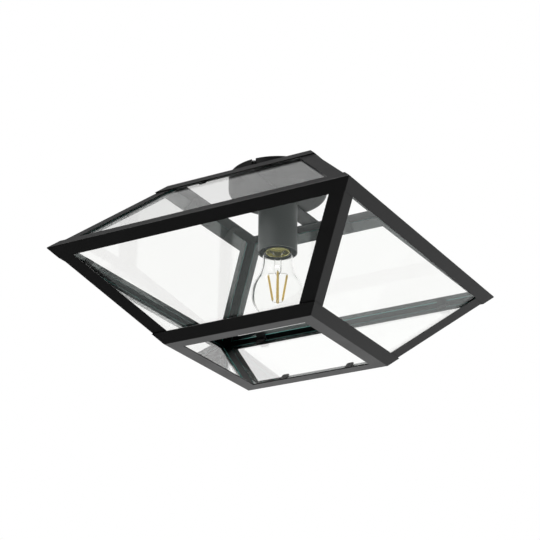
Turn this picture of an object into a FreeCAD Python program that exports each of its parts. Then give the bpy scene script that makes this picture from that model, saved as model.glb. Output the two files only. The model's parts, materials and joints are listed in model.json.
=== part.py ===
import FreeCAD, Part
import math
import os
import re

import Sketcher
from FreeCAD import Placement, Rotation, Vector

# A square porch ceiling lantern: a black folded-steel cage with eight clear
# panes, hung by a round canopy from a bracket on the ceiling, with a tube-clad
# screw lampholder and a clear filament lamp inside.
# Millimetres. The ceiling is z = 0, the lantern's axis is Z, and the lantern
# hangs below. The crossbar and the ceiling bracket run along Y, and the front of
# the cage faces -Y.

SIZES = {
    # cage
    "middle_half": 180.0,        # half the square across the middle fold
    "bottom_half": 88.0,         # half the square across the bottom ring
    "top_wider": 1.0,            # the top ring's half beyond the bottom ring's
    "upper_rise": 89.5,          # middle fold up to the top ring's face
    "lower_rise": 95.5,          # middle fold down to the bottom ring's face
    "sheet": 1.2,                # folded steel sheet of rings and posts
    "ring_flange": 14.0,         # width of a ring's sloping flanges
    "lip_width": 15.0,           # width of the flat flanges, top and bottom
    "post_flange": 14.4,         # width of a corner post's flanges
    "fold_radius": 1.0,          # outside radius of the folds
    "fold_gap": 0.4,             # posts stop this far from the middle fold
    # glass
    "pane_thickness": 3.0,
    "pane_from_fold": 10.0,      # pane edge to the middle fold, along the slope
    "pane_from_ring": 1.0,       # pane edge to the end ring's corner
    "pane_from_hip": 9.0,        # pane edge to the corner of the cage
    "pane_seat_gap": 0.1,        # on each face of a pane
    # glass clips
    "clip_sheet": 1.0,
    "clip_width": 8.5,
    "clip_tip_bevel": 1.5,
    "clip_reach": 12.3,          # end-ring clip's leg, up the slope
    "clip_foot": 6.0,            # end-ring clip's foot, along the lip
    "clip_spacing": 82.0,        # between the two clips on an end-ring bar
    "middle_clip_leg": 5.0,      # middle clip's wings, beyond the pane edges
    "middle_clip_width": 12.0,
    "middle_clip_spacing": 238.0,
    # canopy, crossbar and fixings
    "canopy_radius": 55.0,
    "canopy_height": 24.5,
    "canopy_sheet": 1.0,
    "canopy_round": 7.0,         # outside radius of the canopy's lower edge
    "crossbar_width": 20.0,
    "crossbar_thick": 2.0,
    "crossbar_overlap": 10.0,    # crossbar end on the top ring's lip
    "nipple_radius": 5.0,
    "nipple_bore_radius": 3.5,
    "nipple_above_nut": 2.0,
    "nipple_in_holder": 6.0,
    "nipple_clearance": 0.2,
    "thread_gap": 0.1,           # between a screw and its tapped hole
    "nut_across": 14.0,
    "nut_thick": 3.0,
    "tag_thick": 0.8,
    "tag_radius": 8.0,
    "tag_width": 6.0,
    "tag_length": 14.5,
    "fixings_angle": 90.0,       # turns the bracket and what it carries onto the crossbar
    "bracket_sheet": 1.5,
    "bracket_width": 18.0,
    "bracket_to_canopy": 0.4,
    "ear_drop": 12.0,
    "slot_width": 4.6,           # slots for the ceiling screws
    "slot_length": 14.0,
    "slot_spacing": 60.0,
    "cable_hole_radius": 5.5,
    "side_screw_drop": 6.0,      # side screws' axis below the ceiling
    "side_screw_radius": 2.0,
    "side_screw_clearance": 0.5,
    "side_screw_past_ear": 3.0,
    "screw_head_radius": 3.6,
    "screw_head_thick": 2.2,
    "screw_below_ceiling": 0.2,  # screw tips in the strap stay this far below the ceiling
    # terminal block
    "block_lug_width": 22.0,
    "block_lug_length": 24.0,
    "block_pitch": 8.0,
    "block_depth": 16.0,
    "block_tall": 12.0,
    "block_from_strap": 7.5,
    "block_screw_inset": 4.0,
    "block_screw_radius": 1.4,
    "block_screw_recess": 1.0,
    "block_fixing_radius": 1.5,
    "block_fixing_head_radius": 2.6,
    "block_fixing_head_thick": 1.8,
    "wire_way_radius": 1.4,
    "earth_lug_length": 12.0,
    "earth_screw_radius": 2.0,
    "earth_head_radius": 4.0,
    "earth_head_thick": 2.6,
    # leads
    "lead_radius": 1.1,
    "lead_faces": 8,             # flat faces round a lead
    "lead_bend": 3.6,
    "lead_in_block": 6.0,
    "lead_in_bore": 1.8,         # lead's offset from the axis inside the nipple
    "lead_below_nipple": 1.5,
    "lead_above_terminal": 1.5,
    # lampholder and its tube
    "tube_radius": 21.7,
    "tube_sheet": 1.0,
    "tube_length": 65.0,
    "holder_radius": 19.8,
    "holder_wall": 2.2,
    "holder_step": 2.0,          # inside step of the cap, and of the skirt
    "holder_top_wall": 4.0,
    "holder_cap_length": 30.0,
    "holder_in_tube": 1.2,       # the skirt's rim stops this far inside the tube
    "holder_neck_length": 8.0,
    "holder_thread_gap": 0.2,
    "holder_skirt_bore": 15.2,
    "holder_lip": 2.0,
    "holder_mouth_radius": 14.4,
    "core_gap": 0.2,
    "core_thick": 9.0,
    "core_ledge": 1.3,
    "core_ledge_thick": 1.6,
    "holder_terminal_side": 6.0,
    "holder_terminal_tall": 6.5,
    "holder_terminal_offset": 8.5,
    "holder_terminal_floor": 1.5,
    "terminal_pin_radius": 1.2,
    "terminal_screw_radius": 1.25,
    "terminal_head_radius": 2.0,
    "terminal_head_thick": 1.2,
    "shell_wall": 0.4,
    "shell_gap": 0.25,           # between the lamp's cap and the screw shell
    "shell_length": 27.0,
    "shell_opening": 6.5,
    # sprung centre contact
    "contact_head_radius": 3.5,
    "contact_head_thick": 1.4,
    "contact_stem_radius": 1.4,
    "contact_stem_gap": 0.05,
    "contact_collar_radius": 2.4,
    "contact_collar_thick": 0.8,
    "contact_to_lamp": 0.1,
    "spring_pocket_radius": 3.4,
    "spring_pocket_depth": 4.0,
    "spring_wire": 0.5,           # side of the square wire
    "spring_mean_radius": 2.5,
    "spring_turns": 3.0,
    # lamp
    "globe_radius": 28.7,
    "globe_below_cap": 48.9,     # globe's centre below the cap's rim
    "neck_radius": 16.4,
    "neck_flare": 40.0,          # radius of the hollow curve from neck to globe
    "neck_taper": 3.0,
    "neck_top_radius": 12.5,
    "neck_in_cap": 6.0,
    "bulb_glass": 0.9,
    "cap_radius": 13.05,
    "cap_wall": 0.3,
    "cap_shoulder": 1.5,
    "cap_length": 22.0,
    "cap_rim_above_tube": 0.6,   # the cap's rim is this far up inside the tube
    "insulator_length": 2.8,
    "insulator_top_radius": 6.0,
    "lamp_contact_radius": 4.6,
    "lamp_contact_thick": 1.2,
    "stem_radius": 4.2,
    "stem_wall": 1.0,
    "stem_flare": 3.0,           # flare's narrow end below the cap's rim
    "stem_length": 22.0,
    "stem_pinch": 5.0,
    "stem_rod_radius": 1.6,
    "rod_past_filaments": 2.0,
    "filament_radius": 0.9,
    "filament_length": 32.0,
    "filament_top_ring": 9.5,
    "filament_low_ring": 5.0,
    "filament_start": 26.0,      # filaments' upper ends below the cap's rim
    "filament_angle": 30.0,      # first filament's bearing from X
    "wire_side": 0.6,
}

# Worked out from the driving sizes above. Ratios "per depth" say how far a
# point moves when a sloping face is set back by one millimetre of its normal.
DERIVED = {
    "top_half": "bottom_half + top_wider",
    "top_level": "-(canopy_height + crossbar_thick)",
    "middle_level": "top_level - upper_rise",
    "bottom_level": "middle_level - lower_rise",
    "upper_run": "middle_half - top_half",
    "lower_run": "middle_half - bottom_half",
    "upper_slope": "sqrt(upper_run^2 + upper_rise^2)",
    "lower_slope": "sqrt(lower_run^2 + lower_rise^2)",
    "upper_hip": "sqrt(upper_run^2 + upper_slope^2) / upper_slope",
    "lower_hip": "sqrt(lower_run^2 + lower_slope^2) / lower_slope",
    "fold_cross": "upper_rise * lower_run + upper_run * lower_rise",
    "fold_in": "(upper_slope * lower_run + lower_slope * upper_run) / fold_cross",
    "fold_up": "(upper_rise * lower_slope - lower_rise * upper_slope) / fold_cross",
    "upper_in": "(upper_slope - upper_run) / upper_rise",
    "lower_in": "(lower_slope - lower_run) / lower_rise",
    "glass_depth": "2 * sheet + pane_seat_gap",
    "glass_back": "glass_depth + pane_thickness + pane_seat_gap",
    "canopy_floor": "-(canopy_height - canopy_sheet)",
    "crossbar_half": "top_half - lip_width + crossbar_overlap",
    "nut_level": "canopy_floor + tag_thick",
    "nipple_top": "nut_level + nut_thick + nipple_above_nut",
    "tube_top": "top_level",
    "tube_mouth": "tube_top - tube_length",
    "holder_top": "tube_top - tube_sheet",
    "holder_split": "holder_top - holder_cap_length",
    "holder_mouth": "tube_mouth + holder_in_tube",
    "nipple_low": "holder_top - nipple_in_holder",
    "nipple_hole": "nipple_radius + nipple_clearance",
    "holder_bore": "holder_radius - holder_wall",
    "core_top": "holder_split + holder_neck_length",
    "core_low": "core_top - core_thick",
    "core_face": "core_top + core_ledge_thick",
    "terminal_screw_level": "core_face + holder_terminal_tall / 2",
    "core_radius": "holder_skirt_bore - core_gap",
    "shell_bore": "cap_radius + shell_gap",
    "cap_rim": "tube_mouth + cap_rim_above_tube",
    "cap_top": "cap_rim + cap_length",
    "lamp_tip": "cap_top + insulator_length + lamp_contact_thick",
    "globe_level": "cap_rim - globe_below_cap",
    "flare_level": "globe_level + sqrt((globe_radius + neck_flare)^2"
                   " - (neck_radius + neck_flare)^2)",
    "contact_face": "lamp_tip + contact_to_lamp",
    "contact_back": "contact_face + contact_head_thick",
    "spring_seat": "core_low + spring_pocket_depth",
    "ear_face": "sqrt((canopy_radius - canopy_sheet)^2 - (bracket_width / 2)^2)"
                " - bracket_to_canopy",
    "side_slot_half": "side_screw_radius + side_screw_clearance",
    "block_near": "bracket_width / 2 + block_from_strap",
    "block_far": "block_near + block_depth",
    "block_middle": "block_near + block_depth / 2",
    "block_base": "-bracket_sheet - block_tall",
    "wire_level": "-bracket_sheet - block_tall / 2",
    "earth_level": "-(bracket_width / 2 + earth_lug_length / 2)",
    "pinch_level": "cap_rim - stem_length + stem_pinch",
    "filament_top_level": "cap_rim - filament_start",
    "filament_low_level": "filament_top_level - sqrt(filament_length^2"
                          " - (filament_top_ring - filament_low_ring)^2)",
    "rod_end": "filament_low_level - rod_past_filaments",
}

SIDES = {"front": 0, "right": 90, "back": 180, "left": 270}
CORNERS = {"front_right": 0, "back_right": 90, "back_left": 180, "front_left": 270}
# Drawn with the bracket along X, then turned together.
FIXINGS = ("canopy", "ceiling_bracket", "canopy_side_screws", "earth_tag", "terminal_block",
           "terminal_block_screws", "bracket_screws", "lampholder_core", "lampholder_terminals",
           "lampholder_terminal_screws", "lead_live", "lead_neutral", "lead_earth")

doc = FreeCAD.newDocument("porch_ceiling_lantern")
sheet = doc.addObject("Spreadsheet::Sheet", "Sizes")
parts = []


def fill_sheet():
    """Write the driving sizes as plain numbers, then the derived ones as formulas."""
    rows = list(SIZES.items()) + [(name, "=" + rule) for name, rule in DERIVED.items()]
    for row, (name, content) in enumerate(rows, start=1):
        sheet.set("A%d" % row, name)
        sheet.set("B%d" % row, str(content))
        sheet.setAlias("B%d" % row, name)
    doc.recompute()


def bound(rule):
    """Point every size named in a rule at its cell."""
    known = set(SIZES) | set(DERIVED)
    return re.sub(r"[a-z_]+", lambda word: "Sizes." + word[0] if word[0] in known else word[0],
                  str(rule))


def value(rule):
    """The number that a rule of sizes comes to."""
    return float(sheet.evalExpression(bound(rule)))


def turned(angle):
    """A placement turned about the lantern's axis."""
    return Placement(Vector(0, 0, 0), Rotation(Vector(0, 0, 1), angle))


def new_body(label):
    body = doc.addObject("PartDesign::Body", label)
    body.Label = label
    parts.append(body)
    return body


def origin_item(body, role):
    """One of the body's own origin planes or axes."""
    return [item for item in body.Origin.OriginFeatures if item.Role == role][0]


def new_sketch(body, plane, lift=None):
    """A sketch on one of the body's own origin planes, lifted along its normal."""
    sketch = body.newObject("Sketcher::SketchObject", body.Label + "_sketch")
    sketch.AttachmentSupport = [(origin_item(body, plane), "")]
    sketch.MapMode = "FlatFace"
    if lift is not None:
        sketch.setExpression("AttachmentOffset.Base.z", bound(lift))
    return sketch


def bind_point(sketch, item, end, place, hold="xy"):
    """Hold a point of the sketch at a pair of rules, or at one of the two."""
    for letter, kind, rule in (("x", "DistanceX", place[0]), ("y", "DistanceY", place[1])):
        if letter in hold:
            constraint = Sketcher.Constraint(kind, -1, 1, item, end, value(rule))
            number = sketch.addConstraint(constraint)
            sketch.setExpression("Constraints[%d]" % number, bound(rule))


def arc_shape(start, end, centre, turn):
    """The circular arc from start to end, turning left or right about a centre."""
    circle = Part.Circle(centre, Vector(0, 0, 1), (start - centre).Length)
    first, last = (start, end) if turn == "left" else (end, start)
    begin = math.atan2(first.y - centre.y, first.x - centre.x)
    finish = math.atan2(last.y - centre.y, last.x - centre.x)
    if finish <= begin:
        finish += 2 * math.pi
    return Part.ArcOfCircle(circle, begin, finish)


def add_outline(sketch, corners):
    """A closed outline through corners given as pairs of rules.

    A corner with a third entry (centre x, centre y, turn, held coordinate) is reached
    by an arc; the outline closes with a straight line."""
    points = [Vector(value(corner[0]), value(corner[1]), 0) for corner in corners]
    arcs = [corner[2] if len(corner) > 2 else None for corner in corners]
    runs = []
    for number, start in enumerate(points):
        follower = (number + 1) % len(points)
        arc = arcs[follower]
        if arc is None:
            line = Part.LineSegment(start, points[follower])
            runs.append((sketch.addGeometry(line, False), 1, 2))
        else:
            centre = Vector(value(arc[0]), value(arc[1]), 0)
            item = sketch.addGeometry(arc_shape(start, points[follower], centre, arc[2]), False)
            bind_point(sketch, item, 3, arc[:2])
            runs.append((item,) + ((1, 2) if arc[2] == "left" else (2, 1)))
    for run, follower in zip(runs, runs[1:] + runs[:1]):
        sketch.addConstraint(Sketcher.Constraint("Coincident", run[0], run[2],
                                                 follower[0], follower[1]))
    for run, corner, arc in zip(runs, corners, arcs):
        bind_point(sketch, run[0], run[1], corner[:2], arc[3] if arc else "xy")


def add_circle(sketch, centre, radius):
    circle = Part.Circle(Vector(value(centre[0]), value(centre[1]), 0), Vector(0, 0, 1),
                         value(radius))
    item = sketch.addGeometry(circle, False)
    bind_point(sketch, item, 3, centre)
    number = sketch.addConstraint(Sketcher.Constraint("Radius", item, value(radius)))
    sketch.setExpression("Constraints[%d]" % number, bound(radius))


def box_corners(low_across, high_across, low_up, high_up):
    """The four corners of an upright rectangle."""
    return [(low_across, low_up), (high_across, low_up),
            (high_across, high_up), (low_across, high_up)]


def pad(body, sketch, length, symmetric=False, down=False):
    feature = body.newObject("PartDesign::Pad", body.Label + "_pad")
    feature.Profile = sketch
    feature.setExpression("Length", bound(length))
    feature.SideType = "Symmetric" if symmetric else "One side"
    feature.Reversed = down
    return feature


def cut_through(body, sketch):
    """Cut a sketch right through the body, both ways."""
    feature = body.newObject("PartDesign::Pocket", body.Label + "_cut")
    feature.Profile = sketch
    feature.Type = "ThroughAll"
    feature.SideType = "Symmetric"
    return feature


def cut_blind(body, sketch, depth, up=False):
    feature = body.newObject("PartDesign::Pocket", body.Label + "_recess")
    feature.Profile = sketch
    feature.setExpression("Length", bound(depth))
    feature.Reversed = up
    return feature


def revolve(body, sketch, axis="V_Axis"):
    feature = body.newObject("PartDesign::Revolution", body.Label + "_turned")
    feature.Profile = sketch
    feature.ReferenceAxis = (sketch, [axis])
    feature.Angle = 360
    return feature


def chosen_edges(feature, wanted, fits=lambda edge: True):
    """The names of the edges that fit and whose ends all pass a test."""
    doc.recompute()
    names = []
    for number, edge in enumerate(feature.Shape.Edges, start=1):
        if fits(edge) and all(wanted(vertex.Point) for vertex in edge.Vertexes):
            names.append("Edge%d" % number)
    return names


def round_edges(body, feature, wanted, radius):
    fillet = body.newObject("PartDesign::Fillet", body.Label + "_round")
    fillet.Base = (feature, chosen_edges(feature, wanted))
    fillet.setExpression("Radius", bound(radius))
    return fillet


def bevel_tips(body, strip, levels):
    """Cut the corners off a clip's tips: its short edges at the given levels."""
    chamfer = body.newObject("PartDesign::Chamfer", body.Label + "_bevel")
    chamfer.Base = (strip, chosen_edges(
        strip, lambda p: any(abs(p.z - level) < 0.01 for level in levels),
        lambda edge: edge.Length < 1.5 * value("clip_sheet")))
    chamfer.setExpression("Size", bound("clip_tip_bevel"))
    return chamfer


def polar_copies(body, features, count):
    """Repeat features about the lantern's axis."""
    pattern = body.newObject("PartDesign::PolarPattern", body.Label + "_around")
    pattern.Originals = features
    pattern.Axis = (origin_item(body, "Z_Axis"), [""])
    pattern.Angle = 360
    pattern.Occurrences = count
    body.Tip = pattern


def turned_body(label, *outlines):
    """A solid of revolution about the lantern's axis, from half-section outlines."""
    body = new_body(label)
    sketch = new_sketch(body, "XZ_Plane")
    for corners in outlines:
        add_outline(sketch, corners)
    revolve(body, sketch)
    return body


# Cage: three rings of four mitred bars


def ring_bar(ring, side, corners, half, fold_at):
    """One bar of a ring: a folded strip along X, mitred at both ends."""
    body = new_body("%s_ring_%s" % (ring, side))
    strip = pad(body, add_profile(body, corners), "2 * (%s + ring_flange)" % half, symmetric=True)
    across, up = value(fold_at[0]), value(fold_at[1])
    round_edges(body, strip, lambda p: abs(p.y - across) + abs(p.z - up) < 0.01, "fold_radius")
    mitre = new_sketch(body, "XY_Plane")
    reach = "2 * (lip_width + ring_flange)"
    for sign in ("", "-"):
        add_outline(mitre, [
            ("%s(%s + %s)" % (sign, half, reach), "-(%s + %s)" % (half, reach)),
            ("%s(%s + %s)" % (sign, half, reach), "-(%s - %s)" % (half, reach)),
            ("%s(%s - %s)" % (sign, half, reach), "-(%s - %s)" % (half, reach))])
    cut_through(body, mitre)
    body.Placement = turned(SIDES[side])


def add_profile(body, corners):
    """A cross-section in the plane across a front bar: Y across, Z up."""
    sketch = new_sketch(body, "YZ_Plane")
    add_outline(sketch, corners)
    return sketch


def upper_face(along, depth):
    """A point of the front upper face: up the slope from the fold, set back by depth."""
    return ("-middle_half + ((%s) * upper_run + (%s) * upper_rise) / upper_slope" % (along, depth),
            "middle_level + ((%s) * upper_rise - (%s) * upper_run) / upper_slope" % (along, depth))


def lower_face(along, depth):
    """A point of the front lower face: down the slope from the fold, set back by depth."""
    return ("-middle_half + ((%s) * lower_run + (%s) * lower_rise) / lower_slope" % (along, depth),
            "middle_level - ((%s) * lower_rise - (%s) * lower_run) / lower_slope" % (along, depth))


def middle_ring_profile():
    return [upper_face("0", "0"), upper_face("ring_flange", "0"),
            upper_face("ring_flange", "sheet"),
            ("-middle_half + sheet * fold_in", "middle_level + sheet * fold_up"),
            lower_face("ring_flange", "sheet"), lower_face("ring_flange", "0")]


def top_ring_profile():
    return [("-top_half", "top_level"), ("-top_half + lip_width", "top_level"),
            ("-top_half + lip_width", "top_level - sheet"),
            ("-top_half + sheet * upper_in", "top_level - sheet"),
            upper_face("upper_slope - ring_flange", "sheet"),
            upper_face("upper_slope - ring_flange", "0")]


def bottom_ring_profile():
    return [("-bottom_half", "bottom_level"), ("-bottom_half + lip_width", "bottom_level"),
            ("-bottom_half + lip_width", "bottom_level + sheet"),
            ("-bottom_half + sheet * lower_in", "bottom_level + sheet"),
            lower_face("lower_slope - ring_flange", "sheet"),
            lower_face("lower_slope - ring_flange", "0")]


def make_rings():
    for side in SIDES:
        ring_bar("top", side, top_ring_profile(), "top_half", ("-top_half", "top_level"))
        ring_bar("middle", side, middle_ring_profile(), "middle_half",
                 ("-middle_half", "middle_level"))
        ring_bar("bottom", side, bottom_ring_profile(), "bottom_half",
                 ("-bottom_half", "bottom_level"))


# Corner posts, folded along the hips and lying inside the rings' flanges


def post_section(tier, drop):
    """A post's level cross-section at a distance from the middle fold."""
    wall = "(sheet * %s_slope / %s_rise)" % (tier, tier)
    corner = "(middle_half - (%s) * %s_run / %s_rise - %s)" % (drop, tier, tier, wall)
    wide = "(post_flange * %s_hip)" % tier
    inside = "%s - %s" % (corner, wall)
    end = "%s - %s" % (corner, wide)
    return [(corner, "-" + corner), (corner, "-(%s)" % end), (inside, "-(%s)" % end),
            (inside, "-(%s)" % inside), (end, "-(%s)" % inside), (end, "-" + corner)]


def corner_post(tier, corner, sign):
    """A straight folded post between the middle fold and an end ring, drawn top end first."""
    body = new_body("%s_post_%s" % (tier, corner))
    ends = ["fold_gap", "%s_rise - sheet" % tier]
    if tier == "upper":
        ends.reverse()
    sections = []
    for drop in ends:
        sketch = new_sketch(body, "XY_Plane", "middle_level %s (%s)" % (sign, drop))
        add_outline(sketch, post_section(tier, drop))
        sections.append(sketch)
    loft = body.newObject("PartDesign::AdditiveLoft", body.Label + "_folded")
    loft.Profile = sections[0]
    loft.Sections = [sections[1]]
    loft.Ruled = True
    outer = [value(post_section(tier, drop)[0][0]) for drop in ends]
    round_edges(body, loft, lambda p: abs(p.x + p.y) < 0.01 and min(
        abs(p.x - reach) for reach in outer) < 0.01, "fold_radius")
    body.Placement = turned(CORNERS[corner])


def make_posts():
    for corner in CORNERS:
        corner_post("upper", corner, "+")
        corner_post("lower", corner, "-")


# Panes: flat trapezoids laid on the slope of each face


def pane(tier, side):
    """A pane drawn in the plane of its face: X along the bar, Y away from the fold."""
    body = new_body("%s_pane_%s" % (tier, side))
    start = "pane_from_fold"
    stop = "(%s_slope - pane_from_ring)" % tier
    half = "(middle_half - %s * {0}_run / {0}_slope - pane_from_hip * {0}_hip)".format(tier)
    lift = "glass_depth" if tier == "lower" else "-(glass_depth + pane_thickness)"
    sketch = new_sketch(body, "XY_Plane", lift)
    add_outline(sketch, [("-" + half % start, start), (half % start, start),
                         (half % stop, stop), ("-" + half % stop, stop)])
    pad(body, sketch, "pane_thickness")
    tilt = math.degrees(math.atan2(value(tier + "_rise"), value(tier + "_run")))
    laid = Placement(Vector(0, -value("middle_half"), value("middle_level")),
                     Rotation(Vector(1, 0, 0), tilt if tier == "upper" else -tilt))
    body.Placement = turned(SIDES[side]).multiply(laid)


def make_panes():
    for side in SIDES:
        pane("upper", side)
        pane("lower", side)


# Bent clips that hold the panes, two to a bar, each ring's in one node


def clip_group(label, corners, width, spacing, tip_levels):
    """Eight like clips: one bent strip, mirrored along its bar and repeated round the ring."""
    body = new_body(label)
    sketch = new_sketch(body, "YZ_Plane", "%s / 2" % spacing)
    add_outline(sketch, corners)
    strip = pad(body, sketch, width, symmetric=True)
    tips = bevel_tips(body, strip, [value(level) for level in tip_levels])
    around_ring(body, [strip, tips])


def around_ring(body, features):
    """Mirror features across the YZ plane, then repeat them on the four sides."""
    copies = body.newObject("PartDesign::MultiTransform", body.Label + "_copies")
    copies.Originals = features
    mirrored = body.newObject("PartDesign::Mirrored", body.Label + "_mirrored")
    mirrored.MirrorPlane = (origin_item(body, "YZ_Plane"), [""])
    polar = body.newObject("PartDesign::PolarPattern", body.Label + "_around")
    polar.Axis = (origin_item(body, "Z_Axis"), [""])
    polar.Angle = 360
    polar.Occurrences = 4
    copies.Transformations = [mirrored, polar]
    body.Tip = copies


def end_clip_profile(tier, level, sign, face):
    """A foot on the ring's lip and a leg up the pane's inner face."""
    place = "-%s_half + " % ("top" if tier == "upper" else "bottom")
    across = "((%s) * {0}_slope - (%s) * {0}_run) / {0}_rise".format(tier)
    leg_out = place + across % ("glass_back", "sheet")
    leg_in = place + across % ("glass_back + clip_sheet", "sheet + clip_sheet")
    reach = "%s_slope - clip_reach" % tier
    low = "%s %s sheet" % (level, sign)
    high = "%s %s (sheet + clip_sheet)" % (level, sign)
    return [(leg_out, low), face(reach, "glass_back"), face(reach, "glass_back + clip_sheet"),
            (leg_in, high), (leg_out + " + clip_foot", high), (leg_out + " + clip_foot", low)]


def middle_clip_profile():
    """A double web between the pane edges, opening into a wing on each pane."""
    root = "(clip_sheet * {0}_slope + (%s) * {0}_run) / {0}_rise"
    upper_root = root.format("upper")
    lower_root = root.format("lower")
    inner = "glass_back + clip_sheet"
    wing = "pane_from_fold + middle_clip_leg"
    return [lower_face(lower_root % "sheet", "sheet"), upper_face(upper_root % "sheet", "sheet"),
            upper_face(upper_root % "glass_back", "glass_back"),
            upper_face(wing, "glass_back"), upper_face(wing, inner),
            ("-middle_half + (%s) * fold_in" % inner, "middle_level + (%s) * fold_up" % inner),
            lower_face(wing, inner), lower_face(wing, "glass_back"),
            lower_face(lower_root % "glass_back", "glass_back")]


def make_clips():
    top = end_clip_profile("upper", "top_level", "-", upper_face)
    clip_group("top_glass_clips", top, "clip_width", "clip_spacing", [top[1][1], top[2][1]])
    bottom = end_clip_profile("lower", "bottom_level", "+", lower_face)
    clip_group("bottom_glass_clips", bottom, "clip_width", "clip_spacing",
               [bottom[1][1], bottom[2][1]])
    middle = middle_clip_profile()
    clip_group("middle_glass_clips", middle, "middle_clip_width", "middle_clip_spacing",
               [middle[3][1], middle[4][1], middle[6][1], middle[7][1]])


# Canopy, crossbar and what hangs them


def make_crossbar():
    body = new_body("crossbar")
    sketch = new_sketch(body, "XY_Plane", "top_level")
    add_outline(sketch, box_corners("-crossbar_width / 2", "crossbar_width / 2",
                                    "-crossbar_half", "crossbar_half"))
    add_circle(sketch, ("0", "0"), "nipple_hole")
    pad(body, sketch, "crossbar_thick")


def make_canopy():
    """A shallow dish, open to the ceiling, with two screw slots in its rim."""
    inner = "canopy_radius - canopy_sheet"
    flat = "canopy_radius - canopy_round"
    bend = "canopy_round - canopy_height"
    body = turned_body("canopy", [
        ("nipple_hole", "-canopy_height"), (flat, "-canopy_height"),
        ("canopy_radius", bend, (flat, bend, "left", "y")),
        ("canopy_radius", "0"), (inner, "0"), (inner, bend),
        (flat, "canopy_floor", (flat, bend, "right", "x")), ("nipple_hole", "canopy_floor")])
    slot = new_sketch(body, "YZ_Plane")
    add_outline(slot, [
        ("-side_slot_half", "-side_screw_drop"),
        ("side_slot_half", "-side_screw_drop", ("0", "-side_screw_drop", "left", "y")),
        ("side_slot_half", "canopy_sheet"), ("-side_slot_half", "canopy_sheet")])
    cut_through(body, slot)


def make_ceiling_bracket():
    """A strap with a down-turned ear at each end and a lug on each side."""
    body = new_body("ceiling_bracket")
    edge = "bracket_width / 2"
    block = "block_lug_width / 2"
    earth = "bracket_width / 3"
    sketch = new_sketch(body, "XY_Plane")
    add_outline(sketch, [
        ("-ear_face", "-" + edge), ("-" + earth, "-" + edge),
        ("-" + earth, "-%s - earth_lug_length" % edge), (earth, "-%s - earth_lug_length" % edge),
        (earth, "-" + edge), ("ear_face", "-" + edge), ("ear_face", edge), (block, edge),
        (block, edge + " + block_lug_length"), ("-" + block, edge + " + block_lug_length"),
        ("-" + block, edge), ("-ear_face", edge)])
    pad(body, sketch, "bracket_sheet", down=True)
    ears = new_sketch(body, "XY_Plane")
    for low, high in (("-ear_face", "-ear_face + bracket_sheet"),
                      ("ear_face - bracket_sheet", "ear_face")):
        add_outline(ears, box_corners(low, high, "-" + edge, edge))
    bent = pad(body, ears, "ear_drop", down=True)
    reach = value("ear_face")
    round_edges(body, bent, lambda p: abs(abs(p.x) - reach) < 0.01 and abs(p.z) < 0.01,
                "fold_radius")
    holes = new_sketch(body, "XY_Plane")
    for sign in ("-", ""):
        add_slot(holes, sign + "slot_spacing / 2")
    add_circle(holes, ("0", "0"), "cable_hole_radius")
    add_circle(holes, ("0", "earth_level"), "earth_screw_radius + thread_gap")
    add_circle(holes, ("block_pitch / 2", "block_middle"), "block_fixing_radius + thread_gap")
    cut_through(body, holes)
    taps = new_sketch(body, "YZ_Plane")
    add_circle(taps, ("0", "-side_screw_drop"), "side_screw_radius + thread_gap")
    cut_through(body, taps)


def add_slot(sketch, middle):
    """A slot along X with half-round ends."""
    left = "%s - (slot_length - slot_width) / 2" % middle
    right = "%s + (slot_length - slot_width) / 2" % middle
    add_outline(sketch, [
        (left, "slot_width / 2"), (left, "-slot_width / 2", (left, "0", "left", "x")),
        (right, "-slot_width / 2"), (right, "slot_width / 2", (right, "0", "left", "x"))])


def make_side_screws():
    body = new_body("canopy_side_screws")
    tip = "ear_face - bracket_sheet - side_screw_past_ear"
    shank = new_sketch(body, "YZ_Plane", tip)
    add_circle(shank, ("0", "-side_screw_drop"), "side_screw_radius")
    shank = pad(body, shank, "canopy_radius - (%s)" % tip)
    head = new_sketch(body, "YZ_Plane", "canopy_radius")
    add_circle(head, ("0", "-side_screw_drop"), "screw_head_radius")
    head = pad(body, head, "screw_head_thick")
    mirrored = body.newObject("PartDesign::Mirrored", body.Label + "_mirrored")
    mirrored.Originals = [shank, head]
    mirrored.MirrorPlane = (origin_item(body, "YZ_Plane"), [""])
    body.Tip = mirrored


def make_nipple():
    turned_body("threaded_nipple", box_corners("nipple_bore_radius", "nipple_radius",
                                               "nipple_low", "nipple_top"))
    nut = new_body("nipple_nut")
    sketch = new_sketch(nut, "XY_Plane", "nut_level")
    corner = "nut_across / sqrt(3)"
    add_outline(sketch, [(corner, "0"), (corner + " / 2", "nut_across / 2"),
                         ("-%s / 2" % corner, "nut_across / 2"), ("-" + corner, "0"),
                         ("-%s / 2" % corner, "-nut_across / 2"),
                         (corner + " / 2", "-nut_across / 2")])
    add_circle(sketch, ("0", "0"), "nipple_radius + thread_gap")
    pad(nut, sketch, "nut_thick")


def make_earth_tag():
    body = new_body("earth_tag")
    tab = new_sketch(body, "XY_Plane", "canopy_floor")
    add_outline(tab, box_corners("-tag_width / 2", "tag_width / 2", "nipple_radius", "tag_length"))
    pad(body, tab, "tag_thick")
    ring = new_sketch(body, "XY_Plane", "canopy_floor")
    add_circle(ring, ("0", "0"), "tag_radius")
    pad(body, ring, "tag_thick")
    hole = new_sketch(body, "XY_Plane")
    add_circle(hole, ("0", "0"), "nipple_hole")
    cut_through(body, hole)


# Lampholder


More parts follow.
